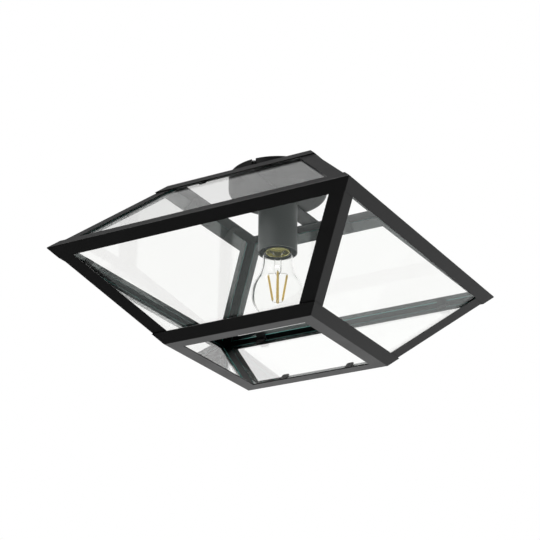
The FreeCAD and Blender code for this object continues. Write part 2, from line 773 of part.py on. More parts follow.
def make_lampholder():
    cover = turned_body("lampholder_cover", [
        ("nipple_hole", "tube_top"), ("nipple_hole", "tube_top - tube_sheet"),
        ("tube_radius - tube_sheet", "tube_top - tube_sheet"),
        ("tube_radius - tube_sheet", "tube_mouth"), ("tube_radius", "tube_mouth"),
        ("tube_radius", "tube_top")])
    round_edges(cover, cover.Tip, lambda p: abs(p.z - value("tube_top")) < 0.01
                and abs(math.hypot(p.x, p.y) - value("tube_radius")) < 0.01, "fold_radius")
    turned_body("lampholder_cap", [
        ("nipple_hole", "holder_top"), ("nipple_hole", "holder_top - holder_top_wall"),
        ("holder_bore - holder_step", "holder_top - holder_top_wall"),
        ("holder_bore - holder_step", "core_face"), ("holder_bore", "core_face"),
        ("holder_bore", "holder_split"), ("holder_radius", "holder_split"),
        ("holder_radius", "holder_top")])
    turned_body("lampholder_skirt", [
        ("holder_skirt_bore", "core_top"),
        ("holder_skirt_bore", "core_low - holder_wall"),
        ("holder_bore", "core_low - holder_wall - holder_step"),
        ("holder_bore", "holder_mouth + holder_lip"),
        ("holder_mouth_radius", "holder_mouth + holder_lip"),
        ("holder_mouth_radius", "holder_mouth"), ("holder_radius", "holder_mouth"),
        ("holder_radius", "holder_split"), ("holder_bore - holder_thread_gap", "holder_split"),
        ("holder_bore - holder_thread_gap", "core_top")])
    turned_body("screw_shell", [
        ("shell_opening", "core_low"), ("shell_opening", "core_low - shell_wall"),
        ("shell_bore", "core_low - shell_wall"), ("shell_bore", "core_low - shell_length"),
        ("shell_bore + shell_wall", "core_low - shell_length"),
        ("shell_bore + shell_wall", "core_low")])


def make_core():
    body = turned_body("lampholder_core", [
        ("contact_stem_radius + contact_stem_gap", "core_face"),
        ("contact_stem_radius + contact_stem_gap", "spring_seat"),
        ("spring_pocket_radius", "spring_seat"), ("spring_pocket_radius", "core_low"),
        ("core_radius", "core_low"), ("core_radius", "core_top"),
        ("core_radius + core_ledge", "core_top"), ("core_radius + core_ledge", "core_face")])
    hole = new_sketch(body, "XY_Plane")
    add_circle(hole, ("-holder_terminal_offset", "0"), "terminal_pin_radius")
    cut_through(body, hole)


def make_contact():
    turned_body("centre_contact", [
        ("0", "contact_face"), ("contact_head_radius", "contact_face"),
        ("contact_head_radius", "contact_back"), ("contact_stem_radius", "contact_back"),
        ("contact_stem_radius", "core_face"), ("contact_collar_radius", "core_face"),
        ("contact_collar_radius", "core_face + contact_collar_thick"),
        ("0", "core_face + contact_collar_thick")])
    spring = new_body("contact_spring")
    sketch = new_sketch(spring, "XZ_Plane")
    add_outline(sketch, box_corners("spring_mean_radius - spring_wire / 2",
                                    "spring_mean_radius + spring_wire / 2",
                                    "contact_back", "contact_back + spring_wire"))
    coil = spring.newObject("PartDesign::AdditiveHelix", "contact_spring_coil")
    coil.Profile = sketch
    coil.ReferenceAxis = (sketch, ["V_Axis"])
    coil.Mode = "pitch-height-angle"
    height = "(spring_seat - contact_back - spring_wire)"
    coil.setExpression("Pitch", bound(height + " / spring_turns"))
    coil.setExpression("Height", bound(height))


def make_terminals():
    """Two brass terminals on the core; the neutral one's pin reaches the screw shell."""
    body = new_body("lampholder_terminals")
    half = "holder_terminal_side / 2"
    blocks = new_sketch(body, "XY_Plane", "core_face")
    ways = new_sketch(body, "XY_Plane", "core_face + holder_terminal_tall")
    for sign in ("-", ""):
        middle = sign + "holder_terminal_offset"
        add_outline(blocks, box_corners("%s - %s" % (middle, half), "%s + %s" % (middle, half),
                                        "-" + half, half))
        add_circle(ways, (middle, "0"), "wire_way_radius")
    pad(body, blocks, "holder_terminal_tall")
    cut_blind(body, ways, "holder_terminal_tall - holder_terminal_floor")
    side = new_sketch(body, "YZ_Plane")
    add_circle(side, ("0", "terminal_screw_level"), "terminal_screw_radius + contact_stem_gap")
    cut_through(body, side)
    pin = new_sketch(body, "XY_Plane", "core_face")
    add_circle(pin, ("-holder_terminal_offset", "0"), "terminal_pin_radius")
    pad(body, pin, "core_face - core_low", down=True)


def make_terminal_screws():
    """One clamp screw from the outer side of each lampholder terminal."""
    body = new_body("lampholder_terminal_screws")
    face = "holder_terminal_offset + holder_terminal_side / 2"
    shank = new_sketch(body, "YZ_Plane", "holder_terminal_offset + lead_radius")
    add_circle(shank, ("0", "terminal_screw_level"), "terminal_screw_radius")
    shank = pad(body, shank, "holder_terminal_side / 2 - lead_radius")
    head = new_sketch(body, "YZ_Plane", face)
    add_circle(head, ("0", "terminal_screw_level"), "terminal_head_radius")
    head = pad(body, head, "terminal_head_thick")
    mirrored = body.newObject("PartDesign::Mirrored", body.Label + "_mirrored")
    mirrored.Originals = [shank, head]
    mirrored.MirrorPlane = (origin_item(body, "YZ_Plane"), [""])
    body.Tip = mirrored


# Wiring


def block_ways():
    """The X places of the terminal block's three ways."""
    return ("-block_pitch", "0", "block_pitch")


def make_terminal_block():
    body = new_body("terminal_block")
    base = new_sketch(body, "XY_Plane", "block_base")
    add_outline(base, box_corners("-1.5 * block_pitch", "1.5 * block_pitch",
                                  "block_near", "block_far"))
    pad(body, base, "block_tall")
    ways = new_sketch(body, "XZ_Plane")
    for way in block_ways():
        add_circle(ways, (way, "wire_level"), "wire_way_radius")
    cut_through(body, ways)
    wells = new_sketch(body, "XY_Plane", "block_base")
    for way in block_ways():
        for row in ("block_near + block_screw_inset", "block_far - block_screw_inset"):
            add_circle(wells, (way, row), "block_screw_radius + thread_gap")
    cut_blind(body, wells, "wire_level - block_base", up=True)
    fixing = new_sketch(body, "XY_Plane")
    add_circle(fixing, ("block_pitch / 2", "block_middle"), "block_fixing_radius + thread_gap")
    cut_through(body, fixing)


def make_block_screws():
    body = new_body("terminal_block_screws")
    sketch = new_sketch(body, "XY_Plane", "block_base + block_screw_recess")
    for way in block_ways():
        for row in ("block_near + block_screw_inset", "block_far - block_screw_inset"):
            add_circle(sketch, (way, row), "block_screw_radius")
    pad(body, sketch, "wire_level - lead_radius - block_base - block_screw_recess")


def make_bracket_screws():
    """The screw that holds the terminal block, and the earth screw."""
    body = new_body("bracket_screws")
    for place, radius, head_radius, head_thick, seat in (
            (("block_pitch / 2", "block_middle"), "block_fixing_radius",
             "block_fixing_head_radius", "block_fixing_head_thick", "block_base"),
            (("0", "earth_level"), "earth_screw_radius",
             "earth_head_radius", "earth_head_thick", "-bracket_sheet")):
        head = new_sketch(body, "XY_Plane", seat)
        add_circle(head, place, head_radius)
        pad(body, head, head_thick, down=True)
        shank = new_sketch(body, "XY_Plane", seat)
        add_circle(shank, place, radius)
        pad(body, shank, "-(%s) - screw_below_ceiling" % seat)


def lead_section(start, ahead):
    """A regular polygon about the start of a run, square to it."""
    radius = value("lead_radius")
    faces = int(value("lead_faces"))
    turn = Rotation(Vector(0, 0, 1), ahead)
    angles = [math.radians(360.0 * (number + 0.5) / faces) for number in range(faces)]
    corners = [start + turn.multVec(Vector(radius * math.cos(angle), radius * math.sin(angle), 0))
               for angle in angles]
    return Part.makePolygon(corners + corners[:1])


def make_lead(label, stops):
    """An insulated lead: straight runs joined by tangent arcs, swept with a many-sided section."""
    points = [Vector(*[value(rule) for rule in stop]) for stop in stops]
    bend = value("lead_bend")
    edges = []
    start = points[0]
    for before, corner, after in zip(points, points[1:], points[2:]):
        back = (before - corner).normalize()
        ahead = (after - corner).normalize()
        half = back.getAngle(ahead) / 2
        reach = bend / math.tan(half)
        enter = corner + back * reach
        leave = corner + ahead * reach
        centre = corner + (back + ahead).normalize() * (bend / math.sin(half))
        middle = centre + (corner - centre).normalize() * bend
        edges.append(Part.LineSegment(start, enter).toShape())
        edges.append(Part.Arc(enter, middle, leave).toShape())
        start = leave
    edges.append(Part.LineSegment(start, points[-1]).toShape())
    spine = Part.Wire(edges)
    section = lead_section(points[0], points[1] - points[0])
    lead = doc.addObject("Part::Feature", label)
    lead.Label = label
    lead.Shape = spine.makePipeShell([section], True, False)
    expected = Part.Face(section).Area * spine.Length
    if abs(lead.Shape.Volume - expected) > 0.01 * expected:
        raise RuntimeError("%s does not fill its run" % label)
    parts.append(lead)


def make_leads():
    """Live and neutral to the lampholder through the nipple, earth to its tag."""
    for label, sign in (("lead_live", ""), ("lead_neutral", "-")):
        way = sign + "block_pitch"
        bore = sign + "lead_in_bore"
        terminal = sign + "holder_terminal_offset"
        make_lead(label, [
            (way, "block_near + lead_in_block", "wire_level"),
            (way, "block_near - lead_bend", "wire_level"),
            (bore, "0", "wire_level"), (bore, "0", "nipple_low - lead_below_nipple"),
            (terminal, "0", "core_face + holder_terminal_tall + lead_above_terminal"),
            (terminal, "0", "core_face + holder_terminal_floor")])
    make_lead("lead_earth", [
        ("0", "block_near + lead_in_block", "wire_level"),
        ("0", "tag_length - tag_width / 2", "wire_level"),
        ("0", "tag_length - tag_width / 2", "canopy_floor + tag_thick")])


# Lamp


def make_bulb_glass():
    """A hollow envelope: a ball, a hollow flare tangent to it, and a straight neck."""
    flare = "neck_radius + neck_flare"
    reach = "globe_radius + neck_flare"
    inner = "(globe_radius - bulb_glass)"
    join_in = "(%s) / (%s)" % (flare, reach)
    join_up = "(flare_level - globe_level) / (%s)" % reach
    turned_body("bulb_glass", [
        ("neck_radius", "cap_rim - neck_taper"),
        ("neck_radius", "flare_level"),
        ("globe_radius * " + join_in, "globe_level + globe_radius * " + join_up,
         (flare, "flare_level", "left", "y")),
        ("0", "globe_level - globe_radius", ("0", "globe_level", "right", "x")),
        ("0", "globe_level - " + inner),
        (inner + " * " + join_in, "globe_level + %s * %s" % (inner, join_up),
         ("0", "globe_level", "left", "y")),
        ("neck_radius - bulb_glass", "flare_level", (flare, "flare_level", "right", "y")),
        ("neck_radius - bulb_glass", "cap_rim - neck_taper"),
        ("neck_top_radius - bulb_glass", "cap_rim"),
        ("neck_top_radius - bulb_glass", "cap_rim + neck_in_cap"),
        ("neck_top_radius", "cap_rim + neck_in_cap"), ("neck_top_radius", "cap_rim")])


def make_bulb_cap():
    turned_body("bulb_cap_shell", [
        ("cap_radius", "cap_rim"), ("cap_radius", "cap_top - cap_shoulder"),
        ("cap_radius - cap_shoulder", "cap_top"),
        ("cap_radius - cap_shoulder - cap_wall", "cap_top"),
        ("cap_radius - cap_wall", "cap_top - cap_shoulder"), ("cap_radius - cap_wall", "cap_rim")])
    turned_body("bulb_cap_insulator", [
        ("0", "cap_top"), ("cap_radius - cap_shoulder", "cap_top"),
        ("insulator_top_radius", "cap_top + insulator_length"),
        ("0", "cap_top + insulator_length")])
    turned_body("bulb_tip_contact", [
        ("0", "cap_top + insulator_length"), ("lamp_contact_radius", "cap_top + insulator_length"),
        ("lamp_contact_radius - lamp_contact_thick / 2", "lamp_tip"), ("0", "lamp_tip")])


def make_stem():
    """A glass flare sealed to the neck, a tube, a pinch and the rod for the filaments."""
    seal = "neck_top_radius - bulb_glass"
    turned_body("bulb_stem", [
        (seal, "cap_rim + neck_in_cap"), (seal, "cap_rim + neck_in_cap - stem_wall"),
        ("stem_radius", "cap_rim - stem_flare"), ("stem_radius", "cap_rim - stem_length"),
        ("stem_rod_radius", "cap_rim - stem_length - stem_radius"),
        ("stem_rod_radius", "rod_end"), ("0", "rod_end"), ("0", "pinch_level"),
        ("stem_radius - stem_wall", "pinch_level"),
        ("stem_radius - stem_wall", "cap_rim - stem_flare"),
        (seal + " - stem_wall", "cap_rim + neck_in_cap")])


def make_filaments():
    body = new_body("bulb_filaments")
    sections = []
    for ring, level in (("filament_top_ring", "filament_top_level"),
                        ("filament_low_ring", "filament_low_level")):
        sketch = new_sketch(body, "XY_Plane", level)
        add_circle(sketch, (ring, "0"), "filament_radius")
        sections.append(sketch)
    strip = body.newObject("PartDesign::AdditiveLoft", "bulb_filaments_strip")
    strip.Profile = sections[0]
    strip.Sections = [sections[1]]
    polar_copies(body, [strip], 4)
    body.Placement = turned(value("filament_angle"))


def make_support_wires():
    """Wires from the pinch and from the rod's end out to the four filaments."""
    body = new_body("bulb_support_wires")
    wires = []
    for start, start_level, ring, level in (
            ("stem_radius", "cap_rim - stem_length", "filament_top_ring - filament_radius",
             "filament_top_level"),
            ("stem_rod_radius", "rod_end + filament_radius",
             "filament_low_ring - filament_radius", "filament_low_level")):
        path = new_sketch(body, "XZ_Plane")
        run = path.addGeometry(Part.LineSegment(Vector(value(start), value(start_level), 0),
                                                Vector(value(ring), value(level), 0)), False)
        bind_point(path, run, 1, (start, start_level))
        bind_point(path, run, 2, (ring, level))
        section = new_sketch(body, "YZ_Plane", start)
        add_outline(section, box_corners("-wire_side / 2", "wire_side / 2",
                                         "%s - wire_side / 2" % start_level,
                                         "%s + wire_side / 2" % start_level))
        wire = body.newObject("PartDesign::AdditivePipe", "bulb_support_wires_run")
        wire.Profile = section
        wire.Spine = (path, ["Edge1"])
        wires.append(wire)
    polar_copies(body, wires, 4)
    body.Placement = turned(value("filament_angle"))


# Turn the fixings, check and write


def turn_fixings():
    """Turn the canopy, the bracket and the wired parts so that the bracket runs along Y."""
    for item in parts:
        if item.Label in FIXINGS:
            item.Placement = turned(value("fixings_angle"))


def check(item):
    """Stop the build when a piece is broken or empty."""
    if any(word in ("Invalid", "Error") for word in item.State):
        raise RuntimeError("%s is in state %s" % (item.Label, item.State))
    if item.Shape.isNull() or not item.Shape.isValid() or item.Shape.Volume <= 0:
        raise RuntimeError("%s has no sound solid" % item.Label)


def main():
    fill_sheet()
    make_rings()
    make_posts()
    make_panes()
    make_clips()
    make_crossbar()
    make_canopy()
    make_ceiling_bracket()
    make_side_screws()
    make_nipple()
    make_earth_tag()
    make_lampholder()
    make_core()
    make_contact()
    make_terminals()
    make_terminal_screws()
    make_terminal_block()
    make_block_screws()
    make_bracket_screws()
    make_leads()
    make_bulb_glass()
    make_bulb_cap()
    make_stem()
    make_filaments()
    make_support_wires()
    turn_fixings()
    doc.recompute()
    for item in doc.Objects:
        if any(word in ("Invalid", "Error") for word in item.State):
            raise RuntimeError("%s is in state %s" % (item.Label, item.State))
    os.makedirs("parts", exist_ok=True)
    for item in parts:
        check(item)
        item.Shape.exportStep("parts/%s.step" % item.Label)
        print("%-28s %10.1f mm3 %3d solids" % (item.Label, item.Shape.Volume,
                                               len(item.Shape.Solids)))
    print("%d pieces written" % len(parts))


main()
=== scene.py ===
# %% [markdown]
# # A porch ceiling lantern, dressed for its portrait
# The CAD pieces of the lantern come in as the frame: folded black steel bars and posts, eight
# panes of clear glass, a round canopy and a tube with a filament lamp. This script gives every
# piece its finish, makes the small rolled and threaded pieces that the CAD keeps plain, hangs a
# camera below and lights the lantern like a product on white paper. Lengths are in metres. The
# ceiling is z = 0 and the lantern hangs below it.

import json
import math

import bmesh
import bpy
import numpy as np
from mathutils import Matrix, Vector


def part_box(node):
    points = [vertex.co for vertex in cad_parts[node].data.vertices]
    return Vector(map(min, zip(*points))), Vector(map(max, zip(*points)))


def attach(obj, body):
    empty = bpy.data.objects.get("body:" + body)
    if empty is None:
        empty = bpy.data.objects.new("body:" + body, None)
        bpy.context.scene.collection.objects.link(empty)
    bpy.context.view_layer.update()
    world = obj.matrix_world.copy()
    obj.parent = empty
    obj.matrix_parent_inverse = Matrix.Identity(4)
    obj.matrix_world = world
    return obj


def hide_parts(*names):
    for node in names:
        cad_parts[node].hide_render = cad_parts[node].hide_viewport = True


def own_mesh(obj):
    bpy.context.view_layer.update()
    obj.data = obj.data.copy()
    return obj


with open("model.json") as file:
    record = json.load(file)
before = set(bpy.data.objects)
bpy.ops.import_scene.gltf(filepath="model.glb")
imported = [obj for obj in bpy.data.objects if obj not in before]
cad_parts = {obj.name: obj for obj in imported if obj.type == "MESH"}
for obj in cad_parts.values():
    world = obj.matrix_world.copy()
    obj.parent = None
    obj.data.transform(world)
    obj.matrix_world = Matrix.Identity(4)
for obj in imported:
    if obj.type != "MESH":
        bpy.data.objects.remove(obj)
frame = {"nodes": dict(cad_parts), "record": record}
nodes = frame["nodes"]
scene = bpy.context.scene
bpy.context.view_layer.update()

# %% [markdown]
# ## Camera
# The photographer stood below the lantern and to the right of its front face, and looked up.
# A long lens from far away keeps the square cage nearly free of perspective. The place was
# fitted so that the cage's corners fall where they do in the picture, so it is given as numbers:
# a point on a sphere round the middle of the cage, a small roll, and a small sideways step.

# %% Camera
AZIMUTH = math.radians(29.853)
ELEVATION = math.radians(-22.683)
ROLL = math.radians(0.324)
DISTANCE = 1.7687
SIDEWAYS = -0.0088
UPWARD = 0.00354
FOCAL_PIXELS = 1614.28
MIDDLE_LEVEL = -0.116


def add_camera():
    """A camera on a sphere round the middle ring's centre, rolled about its own axis."""
    back = Vector((math.sin(AZIMUTH) * math.cos(ELEVATION),
                   -math.cos(AZIMUTH) * math.cos(ELEVATION), math.sin(ELEVATION)))
    right = (-back).cross(Vector((0, 0, 1))).normalized()
    up = right.cross(-back)
    level_right = right * math.cos(ROLL) + up * math.sin(ROLL)
    level_up = up * math.cos(ROLL) - right * math.sin(ROLL)
    data = bpy.data.cameras.new("camera")
    data.sensor_width = 36.0
    data.lens = FOCAL_PIXELS / 540.0 * 36.0
    camera = bpy.data.objects.new("camera", data)
    scene.collection.objects.link(camera)
    place = back * DISTANCE + level_right * SIDEWAYS + level_up * UPWARD
    turn = Matrix((level_right, level_up, back)).transposed().to_4x4()
    camera.matrix_world = Matrix.Translation(place + Vector((0, 0, MIDDLE_LEVEL))) @ turn
    scene.camera = camera


add_camera()
scene.view_settings.view_transform = "Standard"
print("lens %.1f mm" % scene.camera.data.lens)

# %% [markdown]
# ## Building materials with nodes
# A material is a small machine: textures make numbers, and the numbers drive one shader. Three
# helpers keep that readable. `add_node` makes a node and fills or links its inputs by name,
# `new_material` starts an empty material, and `new_group` starts a node group, which is an
# effect that several materials share, each with its own values.


# %% Node helpers
def add_node(tree, kind, inputs=(), **settings):
    """A shader node with its settings and its input values or links."""
    node = tree.nodes.new(kind)
    for key, value in settings.items():
        setattr(node, key, value)
    for name, value in dict(inputs).items():
        if isinstance(value, bpy.types.NodeSocket):
            tree.links.new(value, node.inputs[name])
        else:
            node.inputs[name].default_value = value
    return node


def new_material(name):
    """A named material with an empty node tree, and that tree."""
    material = bpy.data.materials.new(name)
    material.use_nodes = True
    tree = material.node_tree
    for node in list(tree.nodes):
        tree.nodes.remove(node)
    return material, tree


def new_group(name, inputs, outputs):
    """A node group with named number inputs and outputs, and its two end nodes."""
    tree = bpy.data.node_groups.new(name, "ShaderNodeTree")
    for label, value in inputs.items():
        socket = tree.interface.new_socket(label, in_out="INPUT", socket_type="NodeSocketFloat")
        socket.default_value = value
    for label in outputs:
        tree.interface.new_socket(label, in_out="OUTPUT", socket_type="NodeSocketFloat")
    given = tree.nodes.new("NodeGroupInput")
    result = tree.nodes.new("NodeGroupOutput")
    return tree, given.outputs, result.inputs


def use_group(tree, group, **values):
    """The group placed in a material; underscores in a value's name stand for spaces."""
    node = tree.nodes.new("ShaderNodeGroup")
    node.node_tree = group
    for name, value in values.items():
        node.inputs[name.replace("_", " ")].default_value = value
    return node.outputs


print("helpers ready")

# %% [markdown]
# ## Surface effects
# Powder coat, moulded plastic and glaze are never optically flat. Seen close, powder coat has
# the skin of an orange: soft bumps about a millimetre wide. The `grain` group adds two noises,
# one coarse and one fine, in Object coordinates, so the bumps keep their real size on every
# piece. `streaks` stretches a noise along one axis, for drawn wire, rolled brass and extruded
# glass. `blotches` is a slow cloud that makes one part of a surface a little duller than the
# next, as handling and plating do.


# %% Effects: grain, streaks and blotches
def make_grain():
    """Two noises, coarse and fine: a height for bumps and a mask for patches."""
    tree, given, result = new_group("grain", {"Bumps per metre": 900.0, "Fine share": 0.35},
                                    ("Height", "Mask"))
    place = add_node(tree, "ShaderNodeTexCoord").outputs["Object"]
    coarse = add_node(tree, "ShaderNodeTexNoise",
                      {"Vector": place, "Scale": given["Bumps per metre"], "Detail": 1.0})
    triple = add_node(tree, "ShaderNodeMath", {0: given["Bumps per metre"], 1: 3.3},
                      operation="MULTIPLY")
    fine = add_node(tree, "ShaderNodeTexNoise",
                    {"Vector": place, "Scale": triple.outputs[0], "Detail": 2.0})
    blend = add_node(tree, "ShaderNodeMix", {"Factor": given["Fine share"],
                                             2: coarse.outputs["Fac"], 3: fine.outputs["Fac"]})
    tree.links.new(blend.outputs[0], result["Height"])
    spots = add_node(tree, "ShaderNodeMapRange", {"Value": blend.outputs[0], "From Min": 0.35,
                                                  "From Max": 0.65})
    tree.links.new(spots.outputs[0], result["Mask"])
    return tree


def make_streaks():
    """Noise stretched along one way, for rolled, drawn or turned metal."""
    tree, given, result = new_group("streaks", {"Lines per metre": 3000.0, "Stretch X": 1.0,
                                                "Stretch Y": 1.0, "Stretch Z": 0.03},
                                    ("Height", "Mask"))
    place = add_node(tree, "ShaderNodeTexCoord").outputs["Object"]
    stretch = add_node(tree, "ShaderNodeCombineXYZ", {"X": given["Stretch X"],
                                                      "Y": given["Stretch Y"],
                                                      "Z": given["Stretch Z"]})
    drawn = add_node(tree, "ShaderNodeVectorMath", {0: place, 1: stretch.outputs[0]},
                     operation="MULTIPLY")
    lines = add_node(tree, "ShaderNodeTexNoise", {"Vector": drawn.outputs[0],
                                                  "Scale": given["Lines per metre"],
                                                  "Detail": 3.0})
    tree.links.new(lines.outputs["Fac"], result["Height"])
    mask = add_node(tree, "ShaderNodeMapRange", {"Value": lines.outputs["Fac"],
                                                 "From Min": 0.3, "From Max": 0.7})
    tree.links.new(mask.outputs[0], result["Mask"])
    return tree


def make_blotches():
    """One slow noise, spread between a low and a high value."""
    tree, given, result = new_group("blotches", {"Per metre": 35.0, "Low": 0.0, "High": 1.0},
                                    ("Value",))
    place = add_node(tree, "ShaderNodeTexCoord").outputs["Object"]
    cloud = add_node(tree, "ShaderNodeTexNoise", {"Vector": place, "Scale": given["Per metre"],
                                                  "Detail": 4.0, "Roughness": 0.6})
    spread = add_node(tree, "ShaderNodeMapRange", {"Value": cloud.outputs["Fac"],
                                                   "From Min": 0.3, "From Max": 0.7,
                                                   "To Min": given["Low"],
                                                   "To Max": given["High"]})
    tree.links.new(spread.outputs[0], result["Value"])
    return tree


grain = make_grain()
streaks = make_streaks()
blotches = make_blotches()
print("effects:", [tree.name for tree in (grain, streaks, blotches)])

# %% [markdown]
# ## One way to finish a solid
# Every opaque finish here is one Principled shader. Its plain numbers, such as the specular
# level, sit on the shader itself. The base colour runs between two close tones, driven by the
# blotches, the roughness by the same cloud, and the bump by grain or streaks. So each finish is
# a short call that names its tones, its roughness range and its texture.


# %% Opaque finishes
def finish(name, tones, roughness, texture, depth, cloud=35.0, texture_values=None, **plain):
    """A Principled finish: two tones and a roughness range over a cloud, and a bump."""
    material, tree = new_material(name)
    patch = use_group(tree, blotches, Per_metre=cloud)["Value"]
    relief = use_group(tree, texture, **(texture_values or {}))
    tone = add_node(tree, "ShaderNodeMix", {"Factor": patch}, data_type="RGBA")
    tone.inputs[6].default_value = (*tones[0], 1.0)
    tone.inputs[7].default_value = (*tones[1], 1.0)
    fleck = add_node(tree, "ShaderNodeMix", {"Factor": 0.35, 2: patch, 3: relief["Mask"]})
    rough = add_node(tree, "ShaderNodeMapRange", {"Value": fleck.outputs[0],
                                                  "To Min": roughness[0],
                                                  "To Max": roughness[1]})
    bump = add_node(tree, "ShaderNodeBump", {"Height": relief["Height"], "Strength": 1.0,
                                             "Distance": depth})
    values = {key.replace("_", " "): value for key, value in plain.items()}
    shader = add_node(tree, "ShaderNodeBsdfPrincipled", {
        "Base Color": tone.outputs[2], "Roughness": rough.outputs[0],
        "Normal": bump.outputs[0], **values})
    add_node(tree, "ShaderNodeOutputMaterial", {"Surface": shader.outputs[0]})
    return material


# %% [markdown]
# ### Black powder coat
# The cage is welded first and coated afterwards, so the coat is one even satin black that
# gives back about three hundredths of the light. The rest of what one sees is the white paper
# behind it, mirrored at a low angle, which the specular level sets. The real tube round the
# lampholder is most likely black as well. With that coat it came out darker than it should in
# this room's light, so its coat here is a paler grey than a real one: painted light that stands
# in for the stronger light falling on the tube.

# %% Black coats
black_coat = finish("black_powder_coat", ((0.0270, 0.0270, 0.0275), (0.0320, 0.0320, 0.0326)),
                    (0.30, 0.42), grain, 0.000002, Specular_IOR_Level=0.16,
                    texture_values={"Bumps_per_metre": 950.0})
# Grey in place of black: painted light for the stronger light on the tube.
painted_light_tube_coat = finish("painted_light_grey_tube_coat", ((0.138, 0.146, 0.145), (0.154, 0.162, 0.161)),
                   (0.34, 0.44), grain, 0.00001, Specular_IOR_Level=0.2,
                   texture_values={"Bumps_per_metre": 1400.0})
print("two black coats")

# %% [markdown]
# ### Metals
# Zinc plate is bright and slightly blue, with dull patches where the barrel tumbled it. Nickel
# plate is warmer and smoother. The brass of terminals and contacts is machined, the brass of
# the lamp's cap and of the screw shell is thin sheet that was rolled into a thread, which leaves
# it soft and golden. All have streaks as their bump. They are full metal, except the lamp's cap:
# its inside faces only the dim tube, so part of it is plain colour, and its tones are brighter
# and yellower than the shell's. That is painted light, which keeps the dim inside golden.

# %% Metals
zinc = finish("zinc_plate", ((0.55, 0.57, 0.60), (0.66, 0.67, 0.68)), (0.24, 0.42), streaks,
              0.00001, Metallic=1.0, texture_values={"Lines_per_metre": 1500.0,
                                                     "Stretch_Y": 0.05, "Stretch_Z": 1.0})
nickel = finish("nickel_plate", ((0.62, 0.60, 0.57), (0.70, 0.69, 0.67)), (0.16, 0.28),
                streaks, 0.000006, Metallic=1.0)
brass = finish("machined_brass", ((0.66, 0.47, 0.20), (0.78, 0.58, 0.28)), (0.20, 0.34),
               streaks, 0.000008, Metallic=1.0, texture_values={"Stretch_Z": 1.0,
                                                                "Stretch_X": 0.05})
# Brighter, yellower tones than the shell's brass and only part metal: painted light for the dim
# cap.
cap_brass = finish("rolled_cap_brass_painted_light", ((0.94, 0.86, 0.26), (1.0, 0.94, 0.40)), (0.14, 0.26),
                   streaks, 0.00001, Metallic=0.6,
                   texture_values={"Stretch_X": 0.4, "Stretch_Y": 0.4, "Stretch_Z": 1.5})
shell_brass = finish("screw_shell_brass", ((0.60, 0.46, 0.24), (0.72, 0.57, 0.32)),
                     (0.26, 0.42), streaks, 0.00001, Metallic=1.0,
                     texture_values={"Stretch_X": 0.4, "Stretch_Y": 0.4, "Stretch_Z": 1.5})
print("five metals")

# %% [markdown]
# ### Plastics and ceramics
# The lampholder is moulded in black heat-proof plastic with a fine spark-eroded grain. Its core
# is glazed porcelain, off-white with soft pits under a clear glaze, so it gets a coat. The
# terminal block is natural nylon, which light enters a little way. The lamp's insulator is
# black glass, poured round the contact.

# %% Plastics and ceramics
holder_plastic = finish("holder_plastic", ((0.004, 0.004, 0.005), (0.007, 0.007, 0.008)),
                        (0.55, 0.68), grain, 0.00002, Specular_IOR_Level=0.03,
                        texture_values={"Bumps_per_metre": 3500.0})
porcelain = finish("porcelain_glaze", ((0.80, 0.77, 0.70), (0.86, 0.84, 0.79)), (0.22, 0.34),
                   grain, 0.00003, cloud=90.0, Coat_Weight=0.8, Coat_Roughness=0.06,
                   texture_values={"Bumps_per_metre": 700.0})
block_nylon = finish("natural_nylon", ((0.74, 0.74, 0.69), (0.82, 0.82, 0.78)), (0.38, 0.5),
                     grain, 0.00002, Subsurface_Weight=0.25, Subsurface_Scale=0.002,
                     texture_values={"Bumps_per_metre": 2500.0})
insulator_glass = finish("black_glass_insulator", ((0.008, 0.008, 0.012), (0.02, 0.02, 0.028)),
                         (0.06, 0.14), grain, 0.00002, cloud=150.0,
                         texture_values={"Bumps_per_metre": 400.0})
print("four mouldings")


# %% [markdown]
# ### Lead insulation
# Brown is live, blue is neutral, and earth is green with a yellow stripe. The stripe follows
# the lead, so it is cut out of Object coordinates: the earth lead runs in the plane y = 0, and
# wherever a point is within half a millimetre of that plane it is yellow.

# %% Leads
brown_lead = finish("brown_insulation", ((0.17, 0.075, 0.03), (0.22, 0.10, 0.045)),
                    (0.28, 0.4), streaks, 0.00001, texture_values={"Stretch_Z": 0.2})
blue_lead = finish("blue_insulation", ((0.04, 0.16, 0.45), (0.06, 0.21, 0.54)), (0.28, 0.4),
                   streaks, 0.00001, texture_values={"Stretch_Z": 0.2})
green_lead = finish("earth_insulation", ((0.08, 0.30, 0.06), (0.11, 0.36, 0.08)), (0.28, 0.4),
                    streaks, 0.00001, texture_values={"Stretch_Z": 0.2})


def add_stripe(material, colour, half_width):
    """Where a point's y is within half_width of zero, the base colour becomes the stripe's."""
    tree = material.node_tree
    shader = next(n for n in tree.nodes if n.type == "BSDF_PRINCIPLED")
    ground = shader.inputs["Base Color"].links[0].from_socket
    place = add_node(tree, "ShaderNodeTexCoord").outputs["Object"]
    across = add_node(tree, "ShaderNodeSeparateXYZ", {0: place}).outputs["Y"]
    near = add_node(tree, "ShaderNodeMath", {0: across, 1: 0.0, 2: half_width},
                    operation="COMPARE")
    mix = add_node(tree, "ShaderNodeMix", {"Factor": near.outputs[0], 6: ground},
                   data_type="RGBA")
    mix.inputs[7].default_value = (*colour, 1.0)
    tree.links.new(mix.outputs[2], shader.inputs["Base Color"])


add_stripe(green_lead, (0.80, 0.66, 0.04), 0.00055)
print("three lead colours")

# %% [markdown]
# ### Filament sticks
# A filament is a thin stick of tiny lamps under a yellow coat of phosphor, with a bare metal
# tab at each end. The four sticks lean inwards but share their upper and lower levels, so the
# height alone tells tab from coat, and fine rings of noise along it make the coat uneven. The
# coat lets light through from the far side, which a translucent share gives it.

# %% Filaments
STICK_LOW, STICK_HIGH = -0.1492, -0.1162
TAB = 0.0015


